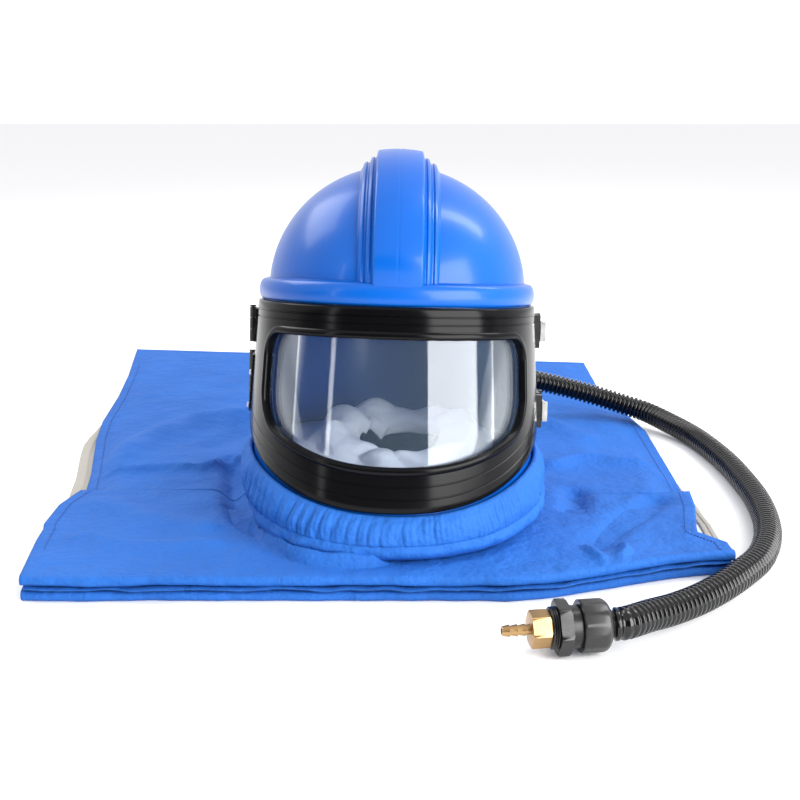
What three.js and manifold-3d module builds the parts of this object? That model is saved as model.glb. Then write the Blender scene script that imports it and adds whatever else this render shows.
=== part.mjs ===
import * as THREE from 'three';
import { mergeVertices } from 'three/addons/utils/BufferGeometryUtils.js';
import Module from 'manifold-3d';

// Sandblasting hood: a moulded helmet with a hinged visor, on a folded cloth cape, with its air hose.
// Millimetres, +Z up, the visor looks along -Y. The pieces are laid out from a point on the table under
// the neck, and the origin lies in front of it, under the folded front panel.

const manifold = await Module();
manifold.setup();

const GAP = 0.3;
const CLOTH = 2;
const NECK_BEHIND_ORIGIN = 90;

// Helmet: it leans back on the folded cape and rolls a little. Its own zero is the brim plane's centre.
const HELMET_PLACE = new THREE.Vector3(-2.4, 12, 185);
const LEAN_BACK = THREE.MathUtils.degToRad(8.5);
const ROLL_RIGHT = THREE.MathUtils.degToRad(1.6);
const PLAN_POWER = 2.25;

// Visor frame: its outer face is the surface that the helmet's other walls are offset from.
const FACE_HALF_WIDTH = 108.5;
const FACE_FRONT = 128;
const FACE_BACK = 125;
const FLARE_SIDE = 7.5;
const FLARE_FRONT = 4.5;
const FLARE_DEPTH = 120;
const FRAME_THICKNESS = 4.4;
const FRAME_TOP = -8.4;
const FRAME_CHIN = -154;
const CHIN_RISE = 62;
const FRAME_HALF_ANGLE = 88;
const FRAME_CORNER = 9;
const FRAME_COLUMNS = 24;
const GROOVE_DEPTH = 1;
const LIP_WIDTH = 5.5;
const LIP_HEIGHT = 1.6;

// Window: an opening in the frame with round corners, and the clear lens behind it.
const WINDOW_TOP = -31;
const WINDOW_SILL = -121;
const WINDOW_HALF_ANGLE = 57;
const WINDOW_TOP_RADIUS = 18;
const WINDOW_SILL_RADIUS = 20;
const LENS_THICKNESS = 1.5;
const LENS_MARGIN = 5;
const LENS_ROOM = 4;

// Shell: a hollow dome with a raised crest, a rolled brim and a wall behind the frame.
const SHELL_WALL = 3;
const SHELL_INSET = 5;
const DOME_INSET = 7.5;
const DOME_HEIGHT = 98;
const BRIM_ROLL = 8;
const SHELL_COLUMNS = 40;
const CREST_HALF_WIDTH = 31;
const CREST_BAND_HALF_WIDTH = 18;
const CREST_HEIGHT = 13;
const CREST_STEP = 5;
const RIM_TUCK = 8;

// Collar: gathered cloth from under the frame down to the cape.
const COLLAR_SIDE = -118;
const COLLAR_CHIN_DROP = 40;
const COLLAR_GATHERS = 18;
const GATHER_DEPTH = 1.1;
const COLLAR_BULGE = 7;
const COLLAR_TUCK = 10;

// Cape: a back panel laid flat, and a front panel folded under itself in four layers.
const STACK_HEIGHT = 18.5;
const BACK_HEIGHT = 8;
const EDGE_HEIGHT = 4.4;
const SEAM_Y = 5;
const CAPE_HALF_WIDTH = 270;
const BACK_LENGTH = 584;
const BACK_SKEW = 0.13;
const FRONT_EDGE = 173;
const FRONT_SKEW = 45;
const FOLD_BACK_Y = -28;
const NECK_MARGIN = 17;

// Air hose: a ribbed hose from the back of the helmet, over the cape, to its fittings on the table.
const HOSE_DIAMETER = 21.2;
const HOSE_SIDES = 8;
const HOSE_STEPS = 40;
const INLET_Z = -88;
const INLET_LENGTH = 22;
const INLET_FLANGE_RADIUS = 17;
const INLET_FLANGE = 3;
const INLET_BORE = 7;
const FITTING_PLACE = new THREE.Vector3(131, -244, 18.1);
const FITTING_TURN = THREE.MathUtils.degToRad(8);
const NUT_DIAMETER = 34.2;
const NUT_LENGTH = 19.5;
const HEX_CORNERS = 36;
const HEX_LENGTH = 8;
const GLAND_THREAD_RADIUS = 13.5;
const GLAND_THREAD_LENGTH = 4;
const GLAND_NECK = 6.6;
const BRASS_CORNERS = 24.2;
const BRASS_HEX_LENGTH = 12;
const BARB_DIAMETER = 7.7;
const BARB_LENGTH = 18;
const BARB_BORE = 3.6;

// Hinge and latches, in the helmet's own frame.
const HINGE_X = -FACE_HALF_WIDTH - 6.2;
const HINGE_Y = -2.5;
const KNUCKLE_RADIUS = 2.6;
const PIN_RADIUS = 1.2;
const PIN_END = 1.6;
const LEAF_THICKNESS = 1.2;
const BRACKET_THICKNESS = 1.6;
const RIVET_TURN = -83;
const LATCH_HALF_HEIGHT = 13;
const LATCH_PROUD = 3;
const LATCH_BASE_FRONT = 0.5;
const LATCH_BASE_DEPTH = 9;
const KEEPER_DEPTH = 3;
const KEEPER_BACK = -7.5;
const LEVER_HALF_HEIGHT = 7.8;
const LEVER_THICKNESS = 2.4;
const LEVER_PIVOT_Y = 21;
const LEVER_TIP_Y = -17;
const LEVER_BARREL_RADIUS = 2.3;
const LEVER_LIP = 1.6;
const LEVER_LIP_LENGTH = 4;

// Places down from the frame's top edge: each hinge's top and length with its rivets, each latch's middle.
const hinges = [
  { name: 'upper', down: 7.6, length: 26, rivets: [] },
  { name: 'lower', down: 43.6, length: 44, rivets: [15, 41] },
];
const latches = [
  { name: 'upper', down: 20.6 },
  { name: 'lower', down: 84.2 },
];

const shellPaint = { color: 0x0f66d8, roughness: 0.35, metalness: 0 };
const cloth = { color: 0x2f6fd6, roughness: 0.85, metalness: 0 };
const blackPlastic = { color: 0x151518, roughness: 0.3, metalness: 0 };
const steel = { color: 0xc8c8c8, roughness: 0.3, metalness: 1 };
const brass = { color: 0xd8b36a, roughness: 0.3, metalness: 1 };
const whiteCloth = { color: 0xe4e0ea, roughness: 0.9, metalness: 0 };
const clear = { color: 0xdfe8ee, roughness: 0.05, metalness: 0, transparent: true, opacity: 0.3 };

const part = new THREE.Group();
const helmet = new THREE.Group();
helmet.position.copy(HELMET_PLACE);
helmet.rotation.set(-LEAN_BACK, ROLL_RIGHT, 0, 'YXZ');
helmet.updateMatrixWorld(true);
part.add(helmet);

function addMesh(parent, name, geometry, finish) {
  const mesh = new THREE.Mesh(geometry, new THREE.MeshStandardMaterial(finish));
  mesh.name = name;
  parent.add(mesh);
  return mesh;
}

function range(count) {
  return Array.from({ length: count }, (_, i) => i);
}

function smooth(low, high, value) {
  return THREE.MathUtils.smoothstep(value, low, high);
}

// A closed skin through two grids of points, such as a wall's outer and inner face, grid[column][row].
// A ring joins its last column to its first, and pole drops the edge where the last row is one point.
function wallSolid(outer, inner, { ring = false, pole = false } = {}) {
  const columns = outer.length;
  const rows = outer[0].length;
  const points = [...outer.flat(), ...inner.flat()];
  const half = columns * rows;
  const index = [];
  const quad = (a, b, c, d) => index.push(a, b, c, a, c, d);
  const spans = ring ? columns : columns - 1;
  for (let i = 0; i < spans; i++) {
    const here = i * rows;
    const next = ((i + 1) % columns) * rows;
    for (let j = 0; j < rows - 1; j++) {
      quad(here + j, next + j, next + j + 1, here + j + 1);
      quad(half + here + j + 1, half + next + j + 1, half + next + j, half + here + j);
    }
    quad(half + here, half + next, next, here);
    if (!pole) {
      quad(here + rows - 1, next + rows - 1, half + next + rows - 1, half + here + rows - 1);
    }
  }
  if (!ring) {
    const last = (columns - 1) * rows;
    for (let j = 0; j < rows - 1; j++) {
      quad(half + j, j, j + 1, half + j + 1);
      quad(last + j, half + last + j, half + last + j + 1, last + j + 1);
    }
  }
  const geometry = new THREE.BufferGeometry();
  geometry.setAttribute('position', new THREE.Float32BufferAttribute(points.flatMap((p) => p.toArray()), 3));
  geometry.setIndex(index);
  return tidied(geometry);
}

// Merges shared corners, drops triangles of no area and turns the faces outward.
function tidied(source) {
  source.deleteAttribute('normal');
  source.deleteAttribute('uv');
  const geometry = mergeVertices(source, 1e-3);
  const old = geometry.index.array;
  const kept = [];
  for (let i = 0; i < old.length; i += 3) {
    const [a, b, c] = [old[i], old[i + 1], old[i + 2]];
    if (a !== b && b !== c && c !== a) {
      kept.push(a, b, c);
    }
  }
  if (signedVolume(geometry.attributes.position, kept) < 0) {
    kept.reverse();
  }
  geometry.setIndex(kept);
  return geometry;
}

function signedVolume(position, index) {
  const corner = range(3).map(() => new THREE.Vector3());
  let total = 0;
  for (let i = 0; i < index.length; i += 3) {
    corner.forEach((v, k) => v.fromBufferAttribute(position, index[i + k]));
    total += corner[0].dot(corner[1].clone().cross(corner[2])) / 6;
  }
  return total;
}

function toSolid(geometry, matrix) {
  const source = geometry.clone();
  if (matrix) {
    source.applyMatrix4(matrix);
  }
  const merged = tidied(source);
  const mesh = new manifold.Mesh({
    numProp: 3,
    vertProperties: new Float32Array(merged.attributes.position.array),
    triVerts: new Uint32Array(merged.index.array),
  });
  return new manifold.Manifold(mesh);
}

function toGeometry(solid) {
  const mesh = solid.getMesh();
  const geometry = new THREE.BufferGeometry();
  geometry.setAttribute('position', new THREE.BufferAttribute(new Float32Array(mesh.vertProperties), 3));
  geometry.setIndex(new THREE.BufferAttribute(new Uint32Array(mesh.triVerts), 1));
  return geometry;
}

function moved(x, y, z) {
  return new THREE.Matrix4().makeTranslation(x, y, z);
}

function box(x0, x1, y0, y1, z0, z1) {
  const geometry = new THREE.BoxGeometry(x1 - x0, y1 - y0, z1 - z0);
  return toSolid(geometry, moved((x0 + x1) / 2, (y0 + y1) / 2, (z0 + z1) / 2));
}

function uprightCylinder(radius, x, y, z0, z1, sides = 10) {
  const geometry = new THREE.CylinderGeometry(radius, radius, z1 - z0, sides);
  geometry.rotateX(Math.PI / 2);
  return toSolid(geometry, moved(x, y, (z0 + z1) / 2));
}

// Plan of the helmet: a rounded oval, angle 0 at the front and 90 on the wearer's left (+X).
function planPoint(degrees, halfWidth, front, back, z) {
  const angle = THREE.MathUtils.degToRad(degrees);
  const s = Math.sin(angle);
  const c = Math.cos(angle);
  const power = 2 / PLAN_POWER;
  const x = halfWidth * Math.sign(s) * Math.abs(s) ** power;
  const y = -(c > 0 ? front : back) * Math.sign(c) * Math.abs(c) ** power;
  return new THREE.Vector3(x, y, z);
}

function flare(z) {
  return THREE.MathUtils.clamp(-z / FLARE_DEPTH, -0.1, 1.4);
}

function facePoint(degrees, z, offset) {
  const k = flare(z);
  const halfWidth = FACE_HALF_WIDTH + FLARE_SIDE * k + offset;
  const front = FACE_FRONT + FLARE_FRONT * k + offset;
  const back = FACE_BACK + FLARE_FRONT * k + offset;
  return planPoint(degrees, halfWidth, front, back, z);
}

function domePoint(degrees, rise, inward) {
  const height = DOME_HEIGHT - inward;
  const z = height * Math.sin(rise);
  const r = Math.cos(rise);
  const inset = DOME_INSET + inward;
  const [halfWidth, front, back] = [FACE_HALF_WIDTH, FACE_FRONT, FACE_BACK].map((size) => (size - inset) * r);
  return planPoint(degrees, halfWidth, front, back, z);
}

function rise(degrees) {
  return 1 - Math.cos(THREE.MathUtils.degToRad(degrees));
}

// Millimetres along the face for each degree, near the window.
const ARC = (FACE_HALF_WIDTH + FACE_FRONT) / 2 * Math.PI / 180;

function cornerDrop(degrees, halfLength, radius) {
  const past = Math.abs(degrees) * ARC - (halfLength - radius);
  if (past <= 0) {
    return 0;
  }
  return radius - Math.sqrt(Math.max(0, radius * radius - past * past));
}

function windowBand(degrees, margin) {
  const end = WINDOW_HALF_ANGLE * ARC + margin;
  const high = WINDOW_TOP + margin - cornerDrop(degrees, end, WINDOW_TOP_RADIUS + margin);
  const sill = WINDOW_SILL + CHIN_RISE * rise(degrees);
  const low = sill - margin + cornerDrop(degrees, end, WINDOW_SILL_RADIUS + margin);
  return [low, high];
}

function windowColumns(margin) {
  const end = WINDOW_HALF_ANGLE + margin / ARC;
  const bend = (WINDOW_SILL_RADIUS + margin) / ARC;
  const flat = range(7).map((i) => (i / 6) * (end - bend));
  const round = range(4).map((i) => end - bend + bend * Math.sin(((i + 1) / 4) * Math.PI / 2));
  const right = [...flat, ...round];
  return [...right.slice(1).reverse().map((a) => -a), ...right];
}

function windowPlate(margin, outside, inside) {
  const plate = (offset) => windowColumns(margin).map((a) =>
    windowBand(a, margin).map((z) => facePoint(a, z, offset)));
  return wallSolid(plate(outside), plate(inside));
}

function frameBottom(degrees) {
  const end = FRAME_HALF_ANGLE * ARC;
  return FRAME_CHIN + CHIN_RISE * rise(degrees) + cornerDrop(degrees, end, FRAME_CORNER);
}

// Rows of the frame's face: how far each lies from the top or the bottom edge, and how deep it is cut in.
const frameRows = [
  { from: 'top', distance: 0, depth: 1.6 },
  { from: 'top', distance: 1.8, depth: 0 },
  { from: 'top', distance: 8.6, depth: 0 },
  { from: 'top', distance: 9.6, depth: GROOVE_DEPTH },
  { from: 'top', distance: 10.6, depth: 0 },
  { from: 'bottom', distance: 15, depth: 0 },
  { from: 'bottom', distance: 14, depth: GROOVE_DEPTH },
  { from: 'bottom', distance: 13, depth: 0 },
  { from: 'bottom', distance: 1.8, depth: 0 },
  { from: 'bottom', distance: 0, depth: 1.6 },
];

function frameRowZ(row, degrees) {
  return row.from === 'top' ? FRAME_TOP - row.distance : frameBottom(degrees) + row.distance;
}

function visorFrame() {
  const angles = range(FRAME_COLUMNS + 1).map((i) => FRAME_HALF_ANGLE * (2 * i / FRAME_COLUMNS - 1));
  const outer = angles.map((a) => frameRows.map((row) => facePoint(a, frameRowZ(row, a), -row.depth)));
  const inner = angles.map((a) => frameRows.map((row) => facePoint(a, frameRowZ(row, a), -FRAME_THICKNESS)));
  const band = toSolid(wallSolid(outer, inner));
  const lip = toSolid(windowPlate(LIP_WIDTH, LIP_HEIGHT, -1));
  const cutter = toSolid(windowPlate(0, LIP_HEIGHT + 6, -FRAME_THICKNESS - 6));
  return toGeometry(band.add(lip).subtract(cutter));
}

function collarTop(degrees) {
  const front = (1 + Math.cos(THREE.MathUtils.degToRad(degrees))) / 2;
  return COLLAR_SIDE - COLLAR_CHIN_DROP * front ** 3.1;
}

// Rows of the brim's roll: height in the helmet, and how far it stands out from the wall below it.
const brimRows = [
  { z: -0.94, out: 0 },
  { z: -0.9, out: 4.4 },
  { z: 0.2, out: 5 },
  { z: 0.8, out: 2.8 },
];
const WALL_ROWS = 1;
const DOME_ROWS = 6;

function helmetShell() {
  const angles = range(SHELL_COLUMNS).map((i) => (i / SHELL_COLUMNS) * 360);
  const skin = (inward) => angles.map((a) => {
    const bottom = collarTop(a) - RIM_TUCK;
    const top = brimRows[0].z * BRIM_ROLL;
    const wall = range(WALL_ROWS).map((j) =>
      facePoint(a, THREE.MathUtils.lerp(bottom, top, j / WALL_ROWS), -SHELL_INSET - inward));
    const brim = brimRows.map((row) => {
      const out = inward > 0 ? -inward : row.out;
      return facePoint(a, row.z * BRIM_ROLL, -SHELL_INSET + out);
    });
    const start = Math.asin((BRIM_ROLL + 1) / DOME_HEIGHT);
    const dome = range(DOME_ROWS).map((j) =>
      domePoint(a, THREE.MathUtils.lerp(start, Math.PI / 2, (j / (DOME_ROWS - 1)) ** 0.85), inward));
    return [...wall, ...brim, ...dome];
  });
  const opening = toSolid(windowPlate(LENS_MARGIN + LENS_ROOM, 4, -SHELL_INSET - SHELL_WALL - 8));
  const airWay = new THREE.CylinderGeometry(INLET_BORE, INLET_BORE, 40, 10);
  const air = toSolid(airWay, moved(0, FACE_BACK, INLET_Z));
  const wall = toSolid(wallSolid(skin(0), skin(SHELL_WALL), { ring: true, pole: true }));
  return toGeometry(wall.add(toSolid(crest())).subtract(opening).subtract(air));
}

// Section of the crest: place across it as a share of its half width, and height as a share of its own.
const crestSection = [
  { across: 1, height: 0 },
  { across: 0.93, height: 0.32 },
  { across: 0.88, height: 0.32 },
  { across: 0.64, height: 1 - CREST_STEP / CREST_HEIGHT },
  { across: CREST_BAND_HALF_WIDTH / CREST_HALF_WIDTH, height: 1 },
];
const CREST_STATIONS = 13;

function crest() {
  const section = [
    ...crestSection.map((p) => ({ across: -p.across, height: p.height })),
    ...[...crestSection].reverse(),
  ];
  const column = (lift, station) => section.map((p) => {
    const turn = THREE.MathUtils.lerp(3, 177, station / (CREST_STATIONS - 1));
    const rim = smooth(0, 14, Math.min(turn, 180 - turn));
    const x = p.across * CREST_HALF_WIDTH;
    const k = Math.sqrt(1 - (x / (FACE_HALF_WIDTH - DOME_INSET)) ** 2);
    const length = (turn < 90 ? FACE_FRONT : FACE_BACK) - DOME_INSET;
    const angle = THREE.MathUtils.degToRad(turn);
    const out = lift > 0 ? p.height * CREST_HEIGHT * (0.45 + 0.55 * rim) : -SHELL_WALL * 0.5;
    const y = -Math.cos(angle) * (length * k + out);
    const z = Math.sin(angle) * (DOME_HEIGHT * k + out);
    return new THREE.Vector3(x, y, z);
  });
  const stations = range(CREST_STATIONS);
  return wallSolid(stations.map((s) => column(1, s)), stations.map((s) => column(0, s)));
}

addMesh(helmet, 'helmet_shell', helmetShell(), shellPaint);
addMesh(helmet, 'visor_frame', visorFrame(), blackPlastic);
const lensFace = -FRAME_THICKNESS - GAP;
addMesh(helmet, 'visor_lens', windowPlate(LENS_MARGIN, lensFace, lensFace - LENS_THICKNESS), clear);

// Hinge on the wearer's right: leaves riveted to the frame, knuckles on one pin, brackets on the shell.
function facePlate(angles, z0, z1, outside, inside) {
  const plate = (offset) => angles.map((a) => [z0, z1].map((z) => facePoint(a, z, offset)));
  return toSolid(wallSolid(plate(outside), plate(inside)));
}

function hingeKnuckle(z0, z1) {
  return uprightCylinder(KNUCKLE_RADIUS, HINGE_X, HINGE_Y, z0, z1);
}

function hingeBore(z0, z1) {
  return uprightCylinder(PIN_RADIUS + GAP, HINGE_X, HINGE_Y, z0 - 1, z1 + 1);
}

function wallX(z) {
  return FACE_HALF_WIDTH + FLARE_SIDE * flare(z);
}

// Webs that join the knuckles to the leaf and to the bracket, in front of the pin and behind it.
const leafWeb = { front: -3.4, back: -1.8 };
const bracketWeb = { front: 0.4, back: 4.5 };

function hingeWeb(web, x, z0, z1) {
  return box(HINGE_X, x, HINGE_Y + web.front, HINGE_Y + web.back, z0, z1);
}

for (const { name, down, length, rivets } of hinges) {
  const top = FRAME_TOP - down;
  const bottom = top - length;
  const low = bottom + length / 3;
  const high = top - length / 3;
  const leafOut = GAP + LEAF_THICKNESS;
  const leaf = facePlate([-78, -83, -88, -89.4], bottom, top, leafOut, GAP)
    .add(hingeKnuckle(bottom, low - GAP))
    .add(hingeKnuckle(high + GAP, top))
    .add(hingeWeb(leafWeb, -wallX(bottom) + 1, bottom, low - GAP))
    .add(hingeWeb(leafWeb, -wallX(top) - GAP * 2, high + GAP, top))
    .subtract(hingeBore(bottom, top))
    .subtract(uprightCylinder(KNUCKLE_RADIUS + GAP, HINGE_X, HINGE_Y, low - GAP, high + GAP));
  addMesh(helmet, `hinge_leaf_${name}`, toGeometry(leaf), blackPlastic);

  const shellFace = -SHELL_INSET + GAP;
  const middle = (low + high) / 2;
  const bracket = facePlate([-90.2, -96, -102], bottom, top, shellFace + BRACKET_THICKNESS, shellFace)
    .add(hingeKnuckle(low, high))
    .add(hingeWeb(bracketWeb, -wallX(middle) + SHELL_INSET - LEAF_THICKNESS, low, high))
    .subtract(hingeBore(bottom, top));
  addMesh(helmet, `hinge_bracket_${name}`, toGeometry(bracket), blackPlastic);

  const pin = uprightCylinder(PIN_RADIUS, HINGE_X, HINGE_Y, bottom - 1, top + 1)
    .add(uprightCylinder(KNUCKLE_RADIUS, HINGE_X, HINGE_Y, top + GAP, top + PIN_END))
    .add(uprightCylinder(KNUCKLE_RADIUS, HINGE_X, HINGE_Y, bottom - PIN_END, bottom - GAP));
  addMesh(helmet, `hinge_pin_${name}`, toGeometry(pin), blackPlastic);

  rivets.forEach((fromTop, i) => {
    const seat = facePoint(RIVET_TURN, top - fromTop, leafOut + GAP);
    const head = [[0, 0], [2.6, 0], [2.4, 0.7], [1.5, 1.2], [0, 1.4]];
    const geometry = new THREE.LatheGeometry(head.map((p) => new THREE.Vector2(...p)), 12);
    geometry.rotateZ(Math.PI / 2);
    const rivet = addMesh(helmet, `hinge_rivet_${i + 1}`, tidied(geometry), steel);
    rivet.position.copy(seat);
    rivet.rotation.z = THREE.MathUtils.degToRad(6);
  });
}

// Latches on the wearer's left: a keeper on the frame, and a base on the shell that carries the lever.
for (const { name, down } of latches) {
  const z = FRAME_TOP - down;
  const x = wallX(z - LATCH_HALF_HEIGHT);
  const leverX = x + LATCH_PROUD + GAP;
  const pivotX = leverX + LEVER_THICKNESS / 2;
  const low = z - LATCH_HALF_HEIGHT;
  const high = z + LATCH_HALF_HEIGHT;
  const leverLow = z - LEVER_HALF_HEIGHT;
  const leverHigh = z + LEVER_HALF_HEIGHT;
  const frameSkin = facePlate([76, 82, 88, 89.9], low - 2, high + 2, GAP, -FRAME_THICKNESS);
  const keeper = box(x - KEEPER_DEPTH, x + LATCH_PROUD, LEVER_TIP_Y + 1, KEEPER_BACK, low, high)
    .subtract(frameSkin);
  addMesh(helmet, `latch_keeper_${name}`, toGeometry(keeper), blackPlastic);

  const ear = (z0, z1) => box(x, pivotX + LEVER_THICKNESS, LEVER_PIVOT_Y - 3, LEVER_PIVOT_Y + 4, z0, z1);
  const bore = uprightCylinder(PIN_RADIUS + GAP, pivotX, LEVER_PIVOT_Y, low - 1, high + 1);
  const barrelRoom = uprightCylinder(3, pivotX, LEVER_PIVOT_Y, leverLow - GAP, leverHigh + GAP);
  const seat = -SHELL_INSET + GAP;
  const shellSkin = facePlate([88, 93, 98, 103, 108], low - 2, high + 2, seat, seat - 6);
  const base = box(x - LATCH_BASE_DEPTH, x + LATCH_PROUD, LATCH_BASE_FRONT, LEVER_PIVOT_Y + 6, low, high)
    .add(ear(low, leverLow - GAP))
    .add(ear(leverHigh + GAP, high))
    .subtract(barrelRoom)
    .subtract(bore)
    .subtract(shellSkin);
  addMesh(helmet, `latch_base_${name}`, toGeometry(base), blackPlastic);

  const face = leverX + LEVER_THICKNESS;
  const lever = box(leverX, face, LEVER_TIP_Y + 3, LEVER_PIVOT_Y, leverLow, leverHigh)
    .add(uprightCylinder(LEVER_BARREL_RADIUS, pivotX, LEVER_PIVOT_Y, leverLow, leverHigh))
    .add(box(leverX, face + LEVER_LIP, LEVER_TIP_Y, LEVER_TIP_Y + LEVER_LIP_LENGTH, leverLow, leverHigh))
    .subtract(bore);
  addMesh(helmet, `latch_lever_${name}`, toGeometry(lever), steel);

  const pin = uprightCylinder(PIN_RADIUS, pivotX, LEVER_PIVOT_Y, low + GAP, high - GAP);
  addMesh(helmet, `latch_pin_${name}`, toGeometry(pin), steel);
}

// Air inlet on the back of the shell, a flanged spigot with an open bore.
function inletSpigot() {
  const wall = FACE_BACK + FLARE_FRONT * flare(INLET_Z - INLET_FLANGE_RADIUS) - SHELL_INSET + GAP;
  const profile = [
    [INLET_BORE, 0],
    [INLET_FLANGE_RADIUS, 0],
    [INLET_FLANGE_RADIUS, INLET_FLANGE],
    [HOSE_DIAMETER / 2 + 1.5, INLET_FLANGE],
    [HOSE_DIAMETER / 2 + 1.5, INLET_LENGTH],
    [INLET_BORE, INLET_LENGTH],
    [INLET_BORE, 0],
  ];
  const geometry = tidied(new THREE.LatheGeometry(profile.map((p) => new THREE.Vector2(...p)), 16));
  const mesh = addMesh(helmet, 'hose_inlet', geometry, blackPlastic);
  mesh.position.set(0, wall, INLET_Z);
  mesh.updateMatrixWorld(true);
  return mesh;
}
const inlet = inletSpigot();

// Cape heights over the table: the folded stack in front, lower behind, with soft dents and a low edge.
const LOWERING_START = -20;
const LOWERING_END = 210;
const dents = [
  { x: 0.68, y: -0.1, depth: 3, width: 60 },
  { x: 0.62, y: 0.22, depth: 3.5, width: 45 },
  { x: 0.78, y: -0.42, depth: 3, width: 40 },
  { x: -0.62, y: 0.42, depth: -4, width: 45 },
  { x: -0.3, y: 1.5, depth: 3, width: 90 },
  { x: 0.35, y: 1.3, depth: -3, width: 80 },
];

function capeTop(x, y) {
  let z = THREE.MathUtils.lerp(STACK_HEIGHT, BACK_HEIGHT, smooth(LOWERING_START, LOWERING_END, y));
  for (const dent of dents) {
    const away = Math.hypot(x - dent.x * CAPE_HALF_WIDTH, y - dent.y * CAPE_HALF_WIDTH) / dent.width;
    z -= dent.depth * Math.exp(-away * away) * smooth(-FRONT_EDGE + 12, -FRONT_EDGE + 60, y);
  }
  return z;
}

// Neck hole of the cape, under the collar, in plan.
const NECK_CENTRE = new THREE.Vector2(-7, -12);
const neckHalfWidth = FACE_HALF_WIDTH + FLARE_SIDE - NECK_MARGIN;
const neckFront = FACE_FRONT + FLARE_FRONT - NECK_MARGIN;

function neckCutter(z0, z1, halfWidth, halfLength) {
  const outline = new THREE.Shape();
  outline.absellipse(NECK_CENTRE.x, NECK_CENTRE.y, halfWidth, halfLength, 0, Math.PI * 2);
  const depth = z1 - z0;
  const geometry = new THREE.ExtrudeGeometry(outline, { depth, bevelEnabled: false, curveSegments: 12 });
  return toSolid(geometry, moved(0, 0, z0));
}

// Side edges of the cape: distance from the seam as a share of the length, and the two edges as shares
// of the half width.
const backEdges = [
  { along: 0, left: -0.985, right: 0.895 },
  { along: 0.13, left: -1.03, right: 0.905 },
  { along: 0.31, left: -1.11, right: 0.915 },
  { along: 0.42, left: -1.145, right: 0.92 },
  { along: 0.59, left: -1.17, right: 0.88 },
  { along: 0.76, left: -1.21, right: 0.845 },
  { along: 1, left: -1.285, right: 0.855 },
];
const frontEdges = [
  { along: 0, left: -0.985, right: 0.895 },
  { along: 0.2, left: -1.015, right: 0.88 },
  { along: 0.44, left: -1.015, right: 0.845 },
  { along: 0.5, left: -1.005, right: 0.84 },
  { along: 0.62, left: -1, right: 0.9 },
  { along: 1, left: -0.97, right: 0.9 },
];

function edgeAt(table, along, side) {
  const next = Math.max(1, table.findIndex((row) => row.along >= along));
  const a = table[next - 1];
  const b = table[next];
  const share = THREE.MathUtils.clamp((along - a.along) / (b.along - a.along), 0, 1);
  return CAPE_HALF_WIDTH * THREE.MathUtils.lerp(a[side], b[side], share);
}

const PANEL_COLUMNS = 12;
const BACK_ROWS = 9;

function backPanel() {
  const point = (u, v, lift) => {
    const along = v * (1 - BACK_SKEW * u);
    const y = SEAM_Y + GAP / 2 + along * BACK_LENGTH;
    const x = THREE.MathUtils.lerp(edgeAt(backEdges, v, 'left'), edgeAt(backEdges, v, 'right'), u);
    const side = smooth(0, 0.07, Math.min(u, 1 - u));
    const end = smooth(0, 0.06, 1 - v);
    const floor = v < 1 ? EDGE_HEIGHT : CLOTH;
    const z = THREE.MathUtils.lerp(floor, capeTop(x, y), Math.min(side, end));
    return new THREE.Vector3(x, y, z - lift);
  };
  const grid = (lift) => range(PANEL_COLUMNS + 1).map((i) =>
    range(BACK_ROWS + 1).map((j) => point(i / PANEL_COLUMNS, (j / BACK_ROWS) ** 0.9, lift)));
  const cutter = neckCutter(-5, 40, neckHalfWidth, neckFront);
  return toGeometry(toSolid(wallSolid(grid(0), grid(CLOTH))).subtract(cutter));
}

// Path of the folded front panel from the seam: forward on top, then back, forward and back below.
const layerLift = (STACK_HEIGHT - CLOTH) / 3;

function frontPath(u, x) {
  const skew = FRONT_SKEW * smooth(0.66, 1, u);
  const front = -FRONT_EDGE + skew;
  const levels = range(4).map((k) => STACK_HEIGHT - CLOTH / 2 - k * layerLift);
  const path = [0, 0.12, 0.3, 0.48, 0.64, 0.8, 0.93].map((share) => {
    const y = THREE.MathUtils.lerp(SEAM_Y - GAP / 2, front, share);
    return [y, capeTop(x(y), y) - CLOTH / 2];
  });
  const turn = (y, side, upper, lower) => {
    const radius = (upper - lower) / 2;
    return [0, 60, 120, 180].map((degrees) => {
      const angle = THREE.MathUtils.degToRad(degrees);
      return [y + side * radius * Math.sin(angle), lower + radius + radius * Math.cos(angle)];
    });
  };
  const tuck = front + layerLift / 2;
  path.push(...turn(tuck, -1, levels[0], levels[1]));
  path.push(...turn(FOLD_BACK_Y, 1, levels[1], levels[2]));
  path.push(...turn(tuck, -1, levels[2], levels[3]));
  path.push([FOLD_BACK_Y, levels[3]]);
  return path;
}

function frontPanel() {
  const column = (u, side) => {
    const x = (y) => {
      const along = (SEAM_Y - y) / (FRONT_EDGE + SEAM_Y);
      return THREE.MathUtils.lerp(edgeAt(frontEdges, along, 'left'), edgeAt(frontEdges, along, 'right'), u);
    };
    const path = frontPath(u, x);
    return path.map(([y, z], i) => {
      const [y0, z0] = path[Math.max(0, i - 1)];
      const [y1, z1] = path[Math.min(path.length - 1, i + 1)];
      const length = Math.hypot(y1 - y0, z1 - z0);
      const shift = side * CLOTH / 2 / length;
      return new THREE.Vector3(x(y), y + (z1 - z0) * shift, z - (y1 - y0) * shift);
    });
  };
  const grid = (side) => range(PANEL_COLUMNS + 1).map((i) => column(i / PANEL_COLUMNS, side));
  const cutter = neckCutter(STACK_HEIGHT - CLOTH - layerLift / 2, 40, neckHalfWidth, neckFront);
  return toGeometry(toSolid(wallSolid(grid(1), grid(-1))).subtract(cutter));
}

addMesh(part, 'cape_back_panel', backPanel(), cloth);
addMesh(part, 'cape_front_panel', frontPanel(), cloth);

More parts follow.
